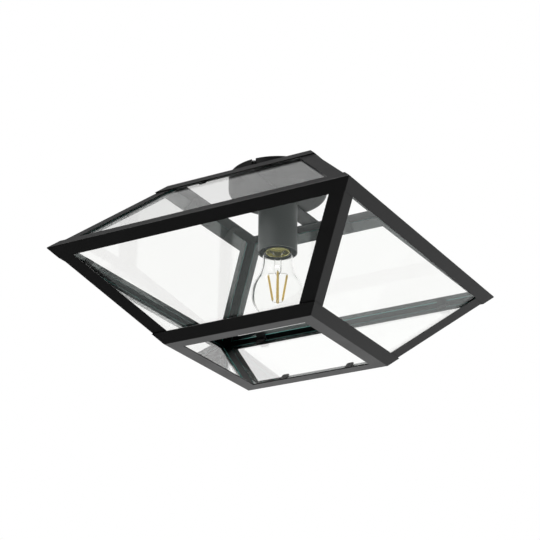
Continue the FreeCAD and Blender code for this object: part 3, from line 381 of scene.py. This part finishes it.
def filament_finish():
    """Yellow between the tabs: one where the height is inside both tabs, zero outside."""
    material, tree = new_material("phosphor_stick")
    place = add_node(tree, "ShaderNodeTexCoord").outputs["Object"]
    height = add_node(tree, "ShaderNodeSeparateXYZ", {0: place}).outputs["Z"]
    coated = add_node(tree, "ShaderNodeMath", {
        0: height, 1: (STICK_LOW + STICK_HIGH) / 2, 2: (STICK_HIGH - STICK_LOW) / 2 - TAB},
        operation="COMPARE").outputs[0]
    lumps = use_group(tree, grain, Bumps_per_metre=1600.0)
    yellow = add_node(tree, "ShaderNodeMix", {"Factor": lumps["Mask"]}, data_type="RGBA")
    yellow.inputs[6].default_value = (1.0, 0.80, 0.34, 1)
    yellow.inputs[7].default_value = (1.0, 0.90, 0.50, 1)
    tone = add_node(tree, "ShaderNodeMix", {"Factor": coated, 7: yellow.outputs[2]},
                    data_type="RGBA")
    tone.inputs[6].default_value = (0.55, 0.54, 0.52, 1)
    bare = add_node(tree, "ShaderNodeMath", {0: 1.0, 1: coated}, operation="SUBTRACT")
    bump = add_node(tree, "ShaderNodeBump", {"Height": lumps["Height"], "Distance": 0.00006})
    solid = add_node(tree, "ShaderNodeBsdfPrincipled", {
        "Base Color": tone.outputs[2], "Metallic": bare.outputs[0], "Roughness": 0.55,
        "Normal": bump.outputs[0]})
    glowing = add_node(tree, "ShaderNodeBsdfTranslucent", {"Color": tone.outputs[2]})
    share = add_node(tree, "ShaderNodeMath", {0: coated, 1: 0.65}, operation="MULTIPLY")
    shader = add_node(tree, "ShaderNodeMixShader", {0: share.outputs[0], 1: solid.outputs[0],
                                                    2: glowing.outputs[0]})
    add_node(tree, "ShaderNodeOutputMaterial", {"Surface": shader.outputs[0]})
    return material


phosphor = filament_finish()
print("sticks %.1f mm tall" % ((STICK_HIGH - STICK_LOW) * 1000))

# %% [markdown]
# ### Glass
# The panes are 3 mm float glass. Light that only has to get through, to make a shadow or to
# light what lies behind, would find no path through two refracting faces, so for shadow and
# diffuse rays the glass is simply transparent. The lamp's glass also lets through what metal
# mirrors. The eye's own rays see real refraction. Float glass is flat, so its panes get a slow
# cloud in their tint and no bump. The lamp's envelope is blown and gets a slow wave in its
# normal too. It is thinner to the eye than the solid is, so its index is set low, well under
# real glass, which keeps its outline faint.


# %% Clear glass
def clear_glass(name, tones, gloss, index, waves, depth, mirrored_share):
    """Refracting glass to the eye, plain transparency to shadow and diffuse rays.

    A mirrored_share of one lets rays that metal has mirrored straight through as well.
    """
    material, tree = new_material(name)
    ripple = use_group(tree, blotches, Per_metre=waves)["Value"]
    tint = add_node(tree, "ShaderNodeMix", {"Factor": ripple}, data_type="RGBA")
    tint.inputs[6].default_value, tint.inputs[7].default_value = tones
    solid = add_node(tree, "ShaderNodeBsdfPrincipled", {
        "Base Color": tint.outputs[2], "Roughness": 0.0, "IOR": index,
        "Transmission Weight": 1.0, "Specular Tint": gloss})
    if depth:
        bump = add_node(tree, "ShaderNodeBump", {"Height": ripple, "Distance": depth})
        tree.links.new(bump.outputs[0], solid.inputs["Normal"])
    clear = add_node(tree, "ShaderNodeBsdfTransparent", {"Color": tint.outputs[2]})
    path = add_node(tree, "ShaderNodeLightPath")
    either = add_node(tree, "ShaderNodeMath", {0: path.outputs["Is Shadow Ray"],
                                               1: path.outputs["Is Diffuse Ray"]},
                      operation="MAXIMUM")
    mirrored = add_node(tree, "ShaderNodeMath", {0: path.outputs["Is Glossy Ray"],
                                                 1: path.outputs["Is Transmission Ray"]},
                        operation="SUBTRACT")
    some = add_node(tree, "ShaderNodeMath", {0: mirrored.outputs[0], 1: mirrored_share},
                    operation="MULTIPLY")
    any_of = add_node(tree, "ShaderNodeMath", {0: either.outputs[0], 1: some.outputs[0]},
                      operation="MAXIMUM")
    mix = add_node(tree, "ShaderNodeMixShader", {0: any_of.outputs[0], 1: solid.outputs[0],
                                                 2: clear.outputs[0]})
    add_node(tree, "ShaderNodeOutputMaterial", {"Surface": mix.outputs[0]})
    return material


pane_glass = clear_glass("pane_glass", ((0.984, 0.990, 0.980, 1), (0.994, 0.997, 0.991, 1)),
                         (0.90, 1.0, 0.98, 1), 1.5, 14.0, 0.0, 0.0)
lamp_glass = clear_glass("lamp_glass", ((0.989, 0.992, 0.987, 1), (0.995, 0.996, 0.993, 1)),
                         (1, 1, 1, 1), 1.09, 60.0, 0.000004, 1.0)
pane_edge = finish("ground_glass_edge", ((0.11, 0.42, 0.385), (0.17, 0.52, 0.47)),
                   (0.18, 0.32), streaks, 0.00001, Specular_IOR_Level=0.6,
                   texture_values={"Stretch_X": 0.1, "Stretch_Y": 0.1, "Stretch_Z": 1.0})
print("glass and its ground edge")

# %% [markdown]
# ## Dressing the CAD pieces
# The record says which finish each piece takes. A pane needs two materials, because a sheet of
# glass is clear through its face and deep green-blue through its narrow edge, where one looks
# along the sheet. The largest triangle gives the face's direction, and every triangle that
# doesn't lie along it belongs to the edge.

# %% Finish for every slot
FINISHES = {"black_steel": black_coat, "pane_glass": pane_glass, "zinc_steel": zinc,
            "brass": brass, "plated_steel": nickel, "holder_plastic": holder_plastic,
            "porcelain": porcelain, "screw_shell_brass": shell_brass,
            "block_plastic": block_nylon, "brown_lead": brown_lead, "blue_lead": blue_lead,
            "green_lead": green_lead, "lamp_glass": lamp_glass, "lamp_cap_brass": cap_brass,
            "black_insulator": insulator_glass, "filament": phosphor}
SLOT_OF = {sub["node"]: sub["material_slot"] for sub in frame["record"]["subparts"]}

for node_name, slot_name in SLOT_OF.items():
    piece = nodes[node_name]
    piece.data.materials.clear()
    piece.data.materials.append(FINISHES[slot_name])
# The tube takes the paler coat, whose grey is painted light.
nodes["lampholder_cover"].data.materials[0] = painted_light_tube_coat
print("%d slots on %d pieces" % (len(FINISHES), len(SLOT_OF)))


# %% Pane edges
def mark_pane_edge(piece):
    """A triangle is edge where its normal's share along the pane's main normal is under half."""
    mesh = piece.data
    normals = np.zeros(len(mesh.polygons) * 3)
    areas = np.zeros(len(mesh.polygons))
    mesh.polygons.foreach_get("normal", normals)
    mesh.polygons.foreach_get("area", areas)
    normals = normals.reshape(-1, 3)
    main = normals[np.argmax(areas)]
    is_edge = (np.abs(normals @ main) < 0.5).astype(np.int32)
    mesh.materials.append(pane_edge)
    mesh.polygons.foreach_set("material_index", is_edge)
    mesh.update()
    return int(is_edge.sum())


edge_counts = [mark_pane_edge(piece) for name, piece in nodes.items() if "_pane_" in name]
print("%d panes, %d edge triangles" % (len(edge_counts), sum(edge_counts)))

# %% [markdown]
# ## Making new pieces
# A new piece starts as a grid of points: rows run one way over the surface and columns the
# other. `surface` joins neighbours with four-sided faces and closes the grid where it meets
# itself. `new_piece` merges doubled points at the poles, turns the faces outward by the sign of
# the volume they enclose, collects one or more grids under a name, gives them their finish,
# lets them ride on a body and hides the CAD node they stand for.


# %% Grid to mesh
def surface(points, wrap_rows=False, wrap_columns=False):
    """Corner indices of the quads between neighbouring points of a rows x columns grid."""
    rows, columns = points.shape[:2]
    number = np.arange(rows * columns).reshape(rows, columns)
    if wrap_rows:
        number = np.vstack([number, number[:1]])
    if wrap_columns:
        number = np.hstack([number, number[:, :1]])
    quads = np.stack([number[:-1, :-1], number[:-1, 1:], number[1:, 1:], number[1:, :-1]], -1)
    return points.reshape(-1, 3), quads.reshape(-1, 4)


def new_piece(name, grids, slot_name, body, node_name=None):
    """One object from closed grids of points, faces outward, in place of a CAD node if named."""
    corners, faces, count = [], [], 0
    for points, quads in grids:
        corners.append(points)
        faces.append(quads + count)
        count += len(points)
    mesh = bpy.data.meshes.new(name)
    mesh.from_pydata(np.concatenate(corners).tolist(), [], np.concatenate(faces).tolist())
    shape = bmesh.new()
    shape.from_mesh(mesh)
    bmesh.ops.remove_doubles(shape, verts=shape.verts, dist=1e-7)
    bmesh.ops.recalc_face_normals(shape, faces=shape.faces)
    if shape.calc_volume(signed=True) < 0:
        bmesh.ops.reverse_faces(shape, faces=shape.faces)
    open_edges = sum(1 for edge in shape.edges if len(edge.link_faces) != 2)
    volume = shape.calc_volume(signed=True)
    shape.to_mesh(mesh)
    shape.free()
    mesh.polygons.foreach_set("use_smooth", np.ones(len(mesh.polygons), bool))
    mesh.set_sharp_from_angle(angle=math.radians(38))
    mesh.materials.append(FINISHES[slot_name])
    piece = bpy.data.objects.new(name, mesh)
    scene.collection.objects.link(piece)
    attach(piece, body)
    if node_name:
        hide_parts(node_name)
    print("%s: %d faces, %.0f mm3, %d open edges"
          % (name, len(mesh.polygons), volume * 1e9, open_edges))
    return piece


# %% [markdown]
# ## Rolled threads
# The lamp's cap and the holder's screw shell are thin brass sheet with a round thread pressed
# into it, 3.629 mm from turn to turn. A right-handed thread is one wave: its phase is the height
# over the pitch, less the share of a turn, so walking once round the cap moves the wave up by
# one pitch. The sheet keeps its thickness, so the same wave shapes the outer and the inner wall,
# and near the plain ends the wave fades out.

# %% The wave and a rolled shell
MM = 0.001
LAMP_PITCH = 3.629 * MM


def fade(level, low, high, reach):
    """Zero outside low to high, one inside, with a smooth step of the given reach."""
    rise = np.clip((level - low) / reach, 0, 1) * np.clip((high - level) / reach, 0, 1)
    return rise * rise * (3 - 2 * rise)


def groove(turn, level, pitch, depth, low, high, reach):
    """Depth of a right-handed round thread: half a cosine wave of level / pitch - turn."""
    wave = 0.5 - 0.5 * np.cos(2 * np.pi * (level / pitch - turn))
    return depth * wave * fade(level, low, high, reach)


def turned_grid(outline, thread, turns=96):
    """A closed outline of (radius, level) carried round Z, its radii less the thread's depth.

    Point = ((r - g) cos a, (r - g) sin a, z), with g the groove where the outline asks for it.
    """
    outline = np.array(outline, float)
    turn = np.arange(turns)[:, None] / turns
    radius, level, threaded = outline[:, 0], outline[:, 1], outline[:, 2]
    radii = radius[None, :] - threaded[None, :] * thread(turn, level[None, :])
    angle = 2 * np.pi * turn
    points = np.stack([radii * np.cos(angle), radii * np.sin(angle),
                       np.broadcast_to(level, radii.shape)], -1)
    return surface(points, wrap_rows=True, wrap_columns=True)


print("pitch %.3f mm" % (LAMP_PITCH / MM))

# %% [markdown]
# The cap is a plain skirt over the glass neck, then a little over three turns of thread, then a
# shoulder that closes on the black insulator. The screw shell is the same wave on a larger
# radius, pressed outward so that it never comes nearer to the lamp than the CAD shell does, with
# a flat floor that has a hole for the centre contact.

# %% Lamp cap and screw shell
cap_low, cap_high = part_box("bulb_cap_shell")
CAP_RADIUS = cap_high.x
CAP_WALL = 0.3 * MM
CAP_SHOULDER = 1.5 * MM


def wall(radius, low, high, threaded, steps):
    """Points up a straight wall as (radius, level, threaded)."""
    level = np.linspace(low, high, steps)
    return np.stack([np.full(steps, radius), level, np.full(steps, threaded)], -1)


def lamp_cap():
    """The rolled cap: radius(turn, level) is the outline moved by the groove of the thread."""
    skirt_top = cap_low.z + 6.6 * MM
    thread_top = cap_high.z - CAP_SHOULDER - 0.4 * MM
    neck = CAP_RADIUS - CAP_SHOULDER
    outline = np.concatenate([
        wall(CAP_RADIUS, cap_low.z, cap_high.z - CAP_SHOULDER, 1.0, 90),
        [[neck + 0.3 * MM, cap_high.z - 0.25 * MM, 0], [neck, cap_high.z, 0],
         [neck - CAP_WALL, cap_high.z, 0],
         [neck - CAP_WALL, cap_high.z - 0.45 * MM, 0]],
        wall(CAP_RADIUS - CAP_WALL, cap_high.z - CAP_SHOULDER - CAP_WALL, cap_low.z, 1.0, 90)])
    return turned_grid(outline, lambda turn, level: groove(
        turn, level, LAMP_PITCH, 1.0 * MM, skirt_top, thread_top, 1.2 * MM))


new_piece("lamp_cap_rolled", [lamp_cap()], "lamp_cap_brass", "bulb", "bulb_cap_shell")

shell_low, shell_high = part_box("screw_shell")
SHELL_WALL = 0.4 * MM
SHELL_HOLE = 6.5 * MM


def screw_shell():
    """The rolled shell: both walls follow one wave, so the sheet keeps its thickness."""
    bore = shell_high.x - SHELL_WALL
    outline = np.concatenate([
        wall(shell_high.x, shell_low.z, shell_high.z - 0.8 * MM, 1.0, 110),
        [[shell_high.x - 0.35 * MM, shell_high.z, 0], [SHELL_HOLE, shell_high.z, 0],
         [SHELL_HOLE, shell_high.z - SHELL_WALL, 0], [bore - 0.3 * MM,
                                                     shell_high.z - SHELL_WALL, 0]],
        wall(bore, shell_high.z - 1.1 * MM, shell_low.z, 1.0, 110)])
    return turned_grid(outline, lambda turn, level: -groove(
        turn, level, LAMP_PITCH, 0.65 * MM, shell_low.z + 1.2 * MM, shell_high.z - 1.6 * MM,
        1.0 * MM))


new_piece("screw_shell_rolled", [screw_shell()], "screw_shell_brass", "lantern", "screw_shell")

# %% [markdown]
# ## The threaded nipple
# A nipple is a short steel tube with a fine thread of 1 mm from end to end. It hangs the
# lampholder from the crossbar, and the leads run through it. The same outline and wave serve,
# with a small pitch, a sharper depth and chamfered ends.

# %% Nipple
nipple_low, nipple_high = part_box("threaded_nipple")
NIPPLE_BORE = 3.5 * MM


def nipple():
    """A tube whose outer wall carries a 1 mm thread between two chamfers."""
    top = nipple_high.z
    low = nipple_low.z
    lead_in = 0.5 * MM
    outline = np.concatenate([
        [[nipple_high.x - lead_in, low, 0]],
        wall(nipple_high.x, low + lead_in, top - lead_in, 1.0, 200),
        [[nipple_high.x - lead_in, top, 0], [NIPPLE_BORE, top, 0]],
        wall(NIPPLE_BORE, top - lead_in, low + lead_in, 0.0, 4), [[NIPPLE_BORE, low, 0]]])
    return turned_grid(outline, lambda turn, level: groove(
        turn, level, 1.0 * MM, 0.45 * MM, low - MM, top + MM, 0.6 * MM), turns=48)


new_piece("nipple_threaded", [nipple()], "zinc_steel", "lantern", "threaded_nipple")


# %% [markdown]
# ## Rings on the holder's rim
# The moulded skirt ends in a flat rim just inside the tube's mouth. Two low ribs run round it,
# as moulders add them so that a shade ring can bite. They catch the light as thin lines in the
# dark mouth. Each is a small half-round bead carried round the axis.

# %% Rim ribs
RIM_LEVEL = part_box("lampholder_skirt")[0].z


def rim_rib(radius, width, height):
    """A half-round bead: (radius + width cos t, level - height sin t), closed on the rim."""
    share = np.linspace(0, np.pi, 9)
    outline = np.stack([radius + width * np.cos(share), RIM_LEVEL - height * np.sin(share),
                        np.zeros(9)], -1)
    back = [[radius - width, RIM_LEVEL + 0.1 * MM, 0], [radius + width, RIM_LEVEL + 0.1 * MM, 0]]
    return turned_grid(np.concatenate([outline, back]), lambda turn, level: 0 * turn * level)


new_piece("holder_rim_ribs", [rim_rib(16.2 * MM, 0.35 * MM, 0.4 * MM),
                              rim_rib(18.9 * MM, 0.35 * MM, 0.4 * MM)],
          "holder_plastic", "lantern")

# %% [markdown]
# ## Screws
# The CAD screws are plain stepped rods. A real pan head is a low dome with a cross recess, and
# its shank carries a thread. One function makes them all: the outline climbs the threaded shank
# from its tip, steps out under the head, rounds its rim and crosses the dome to the middle,
# where the recess pushes the surface down inside a cross that narrows towards its arms' ends.
# A grub screw is the same thing with a head as wide as its shank and a straight slot.


# %% One screw
def cross_recess(x, y, reach, half_width):
    """One inside a cross of that reach and half width, fading to zero over a third of it."""
    arm = np.minimum(np.abs(x), np.abs(y))
    inside = np.clip((half_width * 1.4 - arm) / (half_width * 0.6), 0, 1)
    return inside * np.clip((reach - np.hypot(x, y)) / (reach * 0.45), 0, 1)


def straight_slot(x, y, reach, half_width):
    """One inside a straight slot right across the head."""
    return np.clip((half_width * 1.3 - np.abs(x)) / (half_width * 0.4), 0, 1)


SCREW_SIDES = 56
DOME_ROWS = 22


def screw_points(head_radius, head_height, shank_radius, length, pitch, recess, depth):
    """A screw about Z: shank from -length to 0, head from 0 to head_height."""
    turn = np.arange(SCREW_SIDES)[:, None] / SCREW_SIDES
    steps = max(int(length / pitch * 10), 8)
    shank_level = np.linspace(-length, 0, steps)
    shank = shank_radius - groove(turn, shank_level[None, :], pitch, 0.22 * pitch * 2,
                                  -length - pitch, -0.2 * pitch, 0.5 * pitch)
    shank = np.where(shank_level[None, :] < -length + 0.3 * pitch, shank * 0.82, shank)
    share = np.linspace(0, 1, DOME_ROWS)
    dome_level = head_height * (0.45 + 0.55 * np.sqrt(1 - (1 - share) ** 2))
    dome_radius = head_radius * (1 - share)
    radii = np.concatenate([np.zeros((SCREW_SIDES, 1)), shank,
                            np.full((SCREW_SIDES, 1), head_radius),
                            np.broadcast_to(dome_radius, (SCREW_SIDES, DOME_ROWS))], 1)
    level = np.concatenate([[-length], shank_level, [0.0], dome_level])
    angle = 2 * np.pi * turn
    x, y = radii * np.cos(angle), radii * np.sin(angle)
    z = np.broadcast_to(level, radii.shape).copy()
    dome = slice(z.shape[1] - DOME_ROWS, None)
    z[:, dome] -= depth * recess(x[:, dome], y[:, dome], head_radius * 0.62,
                                 head_radius * 0.14)
    return np.stack([x, y, z], -1)


def placed_screw(place, outward, *shape):
    """A screw with its seat at place (mm) and its head towards outward."""
    points = screw_points(*shape)
    turn = np.array(Vector(outward).to_track_quat("Z", "Y").to_matrix())
    return surface(points @ turn.T + np.array(place) * MM, wrap_rows=True)


# %% [markdown]
# Two pan heads hold the canopy to the bracket's ears, one holds the terminal block, a larger one
# clamps the earth wire, two small ones clamp the leads in the holder, and six grub screws sit in
# the terminal block, their slots facing down to the screwdriver.

# %% All the screws
SIDE_LEVEL, CANOPY_RADIUS = -6.0, 55.0
new_piece("canopy_side_screws_pan", [
    placed_screw((0, side * CANOPY_RADIUS, SIDE_LEVEL), (0, side, 0), 3.6 * MM, 2.2 * MM,
                 2.0 * MM, 6.6 * MM, 0.7 * MM, cross_recess, 1.2 * MM)
    for side in (1, -1)], "black_steel", "lantern", "canopy_side_screws")
new_piece("bracket_screws_pan", [
    placed_screw((-24.5, 4.0, -13.5), (0, 0, -1), 2.6 * MM, 1.8 * MM, 1.5 * MM, 13.3 * MM,
                 0.5 * MM, cross_recess, 1.0 * MM),
    placed_screw((15.0, 0.0, -1.5), (0, 0, -1), 4.0 * MM, 2.6 * MM, 2.0 * MM, 1.3 * MM,
                 0.7 * MM, cross_recess, 1.4 * MM)], "zinc_steel", "lantern", "bracket_screws")
new_piece("terminal_block_screws_slotted", [
    placed_screw((row, way, -11.7), (0, 0, -1), 1.38 * MM, 0.8 * MM, 1.38 * MM, 3.1 * MM,
                 0.5 * MM, straight_slot, 0.5 * MM)
    for row in (-20.5, -28.5) for way in (-8.0, 0.0, 8.0)],
    "plated_steel", "lantern", "terminal_block_screws")
new_piece("holder_terminal_screws_slotted", [
    placed_screw((0, side * 11.5, -44.65), (0, side, 0), 2.0 * MM, 1.2 * MM, 1.22 * MM,
                 1.9 * MM, 0.5 * MM, straight_slot, 0.5 * MM)
    for side in (1, -1)], "plated_steel", "lantern", "lampholder_terminal_screws")

# %% [markdown]
# ## Round wire
# A wire is a circle carried along a path. At each station of the path the circle stands square
# to the path's direction, and its first point is turned as little as possible from the station
# before, so the tube never twists. Both ends close on a point.


# %% Wire along a path
def wire_points(path, radius, sides=12):
    """Path point + radius (cos a across + sin a up) at each station, closed at both ends.

    The radius is one number, or one for each station.
    """
    radius = np.broadcast_to(radius, len(path))[:, None, None]
    ahead = np.gradient(path, axis=0)
    ahead /= np.linalg.norm(ahead, axis=1, keepdims=True)
    across = np.empty_like(path)
    first = np.cross(ahead[0], (0.3, 0.5, 0.81))
    across[0] = first / np.linalg.norm(first)
    for station in range(1, len(path)):
        flat = across[station - 1] - ahead[station] * (across[station - 1] @ ahead[station])
        across[station] = flat / np.linalg.norm(flat)
    up = np.cross(ahead, across)
    angle = 2 * np.pi * np.arange(sides) / sides
    ring = (np.cos(angle)[None, :, None] * across[:, None] +
            np.sin(angle)[None, :, None] * up[:, None]) * radius + path[:, None]
    ends = [np.repeat(path[i][None, None], sides, 1) for i in (0, -1)]
    return surface(np.concatenate([ends[0], ring, ends[1]]), wrap_columns=True)


# %% [markdown]
# The contact spring sits between the core and the sprung centre contact. Its end turns lie flat
# and close, and the turns between them are open, so the height follows a smooth step of the
# share along the wire. When the lamp presses the contact up, the spring shortens.

# %% Contact spring
spring_low, spring_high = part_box("contact_spring")
WIRE = 0.25 * MM
SPRING_TURNS = 6.0


def spring_path():
    """x, y = mean radius (cos, sin) of the turn; z eases from one flat end to the other."""
    share = np.linspace(0, 1, 260)
    angle = 2 * np.pi * SPRING_TURNS * share
    eased = 0.12 * share + 0.88 * share * share * (3 - 2 * share)
    level = spring_low.z + WIRE + eased * (spring_high.z - spring_low.z - 2 * WIRE)
    radius = 2.5 * MM
    return np.stack([radius * np.cos(angle), radius * np.sin(angle), level], -1)


spring = new_piece("contact_spring_round", [wire_points(spring_path(), WIRE)], "plated_steel",
                   "lantern", "contact_spring")
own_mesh(spring)

# %% [markdown]
# ## The lamp's inside
# Each filament is a flat strip under a rounded coat of phosphor: thin at its two tabs and full
# between them. The four sticks lean inwards like a cone, each a straight path whose radius
# steps from tab to coat. Four short wires reach from the glass pinch to the sticks' upper tabs
# and four from the rod's end to their lower tabs. They are soft wire, so each bows a little in a
# shallow curve between its two welds.

# %% Filament sticks and their wires
STICK_ANGLE = math.radians(30.0)
STICK_TOP, STICK_FOOT = (10.6, STICK_HIGH / MM), (5.1, STICK_LOW / MM)
UPPER_WIRE = ((4.0, -115.2), (10.5, -116.4))
LOWER_WIRE = ((1.5, -149.68), (5.0, -149.0))


def filament_stick(quarter):
    """A straight run from top to foot, with the tabs' radius at its ends and the coat's between."""
    share = np.array([0, 0.002, 0.045, 0.05, 0.06, 0.5, 0.94, 0.95, 0.955, 0.998, 1])
    thick = np.array([0.2, 0.42, 0.42, 0.9, 1.12, 1.15, 1.12, 0.9, 0.42, 0.42, 0.2]) * MM
    angle = STICK_ANGLE + quarter * math.pi / 2
    radius = (STICK_TOP[0] + (STICK_FOOT[0] - STICK_TOP[0]) * share) * MM
    level = (STICK_TOP[1] + (STICK_FOOT[1] - STICK_TOP[1]) * share) * MM
    path = np.stack([radius * math.cos(angle), radius * math.sin(angle), level], -1)
    return wire_points(path, thick)


new_piece("filament_sticks", [filament_stick(quarter) for quarter in range(4)], "filament",
          "bulb", "bulb_filaments")


def support_wire(ends, droop, quarter):
    """A run from the first (radius, level) to the second, bowed down by droop at its middle."""
    share = np.linspace(0, 1, 14)
    (start, start_level), (end, end_level) = ends
    radius = (start + (end - start) * share) * MM
    level = (start_level + (end_level - start_level) * share) * MM
    level -= droop * MM * 4 * share * (1 - share)
    angle = STICK_ANGLE + quarter * math.pi / 2
    path = np.stack([radius * math.cos(angle), radius * math.sin(angle), level], -1)
    return wire_points(path, 0.26 * MM, sides=8)


new_piece("lamp_support_wires_round",
          [support_wire(ends, droop, quarter) for ends, droop in ((UPPER_WIRE, -0.1),
                                                                  (LOWER_WIRE, 0.3))
           for quarter in range(4)], "plated_steel", "bulb", "bulb_support_wires")

# %% [markdown]
# ## Light
# Black satin metal shows its surroundings, not its colour, so the surroundings decide the
# picture. The world's strength is a plain slope over direction, between a low and a high stop:
# brightest behind the lantern and below it, a little brighter to the left than to the right,
# dim above and in front. What the camera sees directly, or through glass, is the paper itself
# at strength 1. One large soft lamp high at the front left gives colours their level.

# %% World
world = bpy.data.worlds.new("studio")
scene.world = world
world.use_nodes = True
tree = world.node_tree
for node in list(tree.nodes):
    tree.nodes.remove(node)
ROOM_MIDDLE, ROOM_RIGHT, ROOM_BACK, ROOM_UP = 0.15, -0.155, 0.95, -0.50
ROOM_LOW, ROOM_HIGH = 0.05, 1.2
direction = add_node(tree, "ShaderNodeTexCoord").outputs["Generated"]
slope = add_node(tree, "ShaderNodeVectorMath", {0: direction, 1: (ROOM_RIGHT, ROOM_BACK, ROOM_UP)},
                 operation="DOT_PRODUCT")
raised = add_node(tree, "ShaderNodeMath", {0: slope.outputs["Value"], 1: ROOM_MIDDLE},
                  operation="ADD")
level = add_node(tree, "ShaderNodeClamp", {"Value": raised.outputs[0], "Min": ROOM_LOW,
                                           "Max": ROOM_HIGH})
room = add_node(tree, "ShaderNodeBackground", {"Color": (1, 1, 1, 1),
                                               "Strength": level.outputs[0]})
paper = add_node(tree, "ShaderNodeBackground", {"Color": (1, 1, 1, 1), "Strength": 1.0})
path = add_node(tree, "ShaderNodeLightPath")
seen = add_node(tree, "ShaderNodeMath", {0: path.outputs["Is Camera Ray"],
                                         1: path.outputs["Is Transmission Ray"]},
                operation="MAXIMUM")
mix = add_node(tree, "ShaderNodeMixShader", {0: seen.outputs[0], 1: room.outputs[0],
                                             2: paper.outputs[0]})
add_node(tree, "ShaderNodeOutputWorld", {"Surface": mix.outputs[0]})
print("room from %.2f to %.1f" % (ROOM_LOW, ROOM_HIGH))


# %% Key light
def soft_lamp(name, place, target, size, power):
    """A square area lamp that looks from place to target."""
    data = bpy.data.lights.new(name, "AREA")
    data.shape = "RECTANGLE"
    data.size, data.size_y = size
    data.energy = power
    lamp = bpy.data.objects.new(name, data)
    lamp.location = place
    lamp.rotation_mode = "QUATERNION"
    lamp.rotation_quaternion = (Vector(target) - Vector(place)).to_track_quat("-Z", "Y")
    scene.collection.objects.link(lamp)
    return lamp


soft_lamp("key", (-0.9, -1.2, 2.0), (0, 0, -0.1), (1.1, 1.1), 42.0)

# %% [markdown]
# ## Floor
# A pale round of floor lies well below, out of the camera's view. It throws a little light up
# under the lantern and takes its shadow. Seen directly it is close to the paper's white.

# %% Floor
FLOOR_LEVEL, FLOOR_RADIUS = -1.25, 0.6


def pale_floor():
    """A flat disc: rings of growing radius at one level, closed on its middle point."""
    turn = np.arange(64)[:, None] / 64 * 2 * np.pi
    radius = np.linspace(0, FLOOR_RADIUS, 6)[None, :]
    points = np.stack([radius * np.cos(turn), radius * np.sin(turn),
                       np.full((64, 6), FLOOR_LEVEL)], -1)
    corners, quads = surface(points, wrap_rows=True)
    mesh = bpy.data.meshes.new("floor")
    mesh.from_pydata(corners.tolist(), [], quads[:, ::-1].tolist())
    floor = bpy.data.objects.new("floor", mesh)
    scene.collection.objects.link(floor)
    material, tree = new_material("pale_floor")
    shade = use_group(tree, blotches, Per_metre=4.0, Low=0.84, High=0.88)["Value"]
    matt = add_node(tree, "ShaderNodeBsdfPrincipled", {"Base Color": shade, "Roughness": 0.8})
    white = add_node(tree, "ShaderNodeEmission", {"Color": (1, 1, 1, 1), "Strength": 1.0})
    path = add_node(tree, "ShaderNodeLightPath")
    share = add_node(tree, "ShaderNodeMath", {0: path.outputs["Is Camera Ray"], 1: 0.8},
                     operation="MULTIPLY")
    mix = add_node(tree, "ShaderNodeMixShader", {0: share.outputs[0], 1: matt.outputs[0],
                                                 2: white.outputs[0]})
    add_node(tree, "ShaderNodeOutputMaterial", {"Surface": mix.outputs[0]})
    mesh.materials.append(material)
    return floor


pale_floor()
print("floor %.2f m below the ceiling" % -FLOOR_LEVEL)
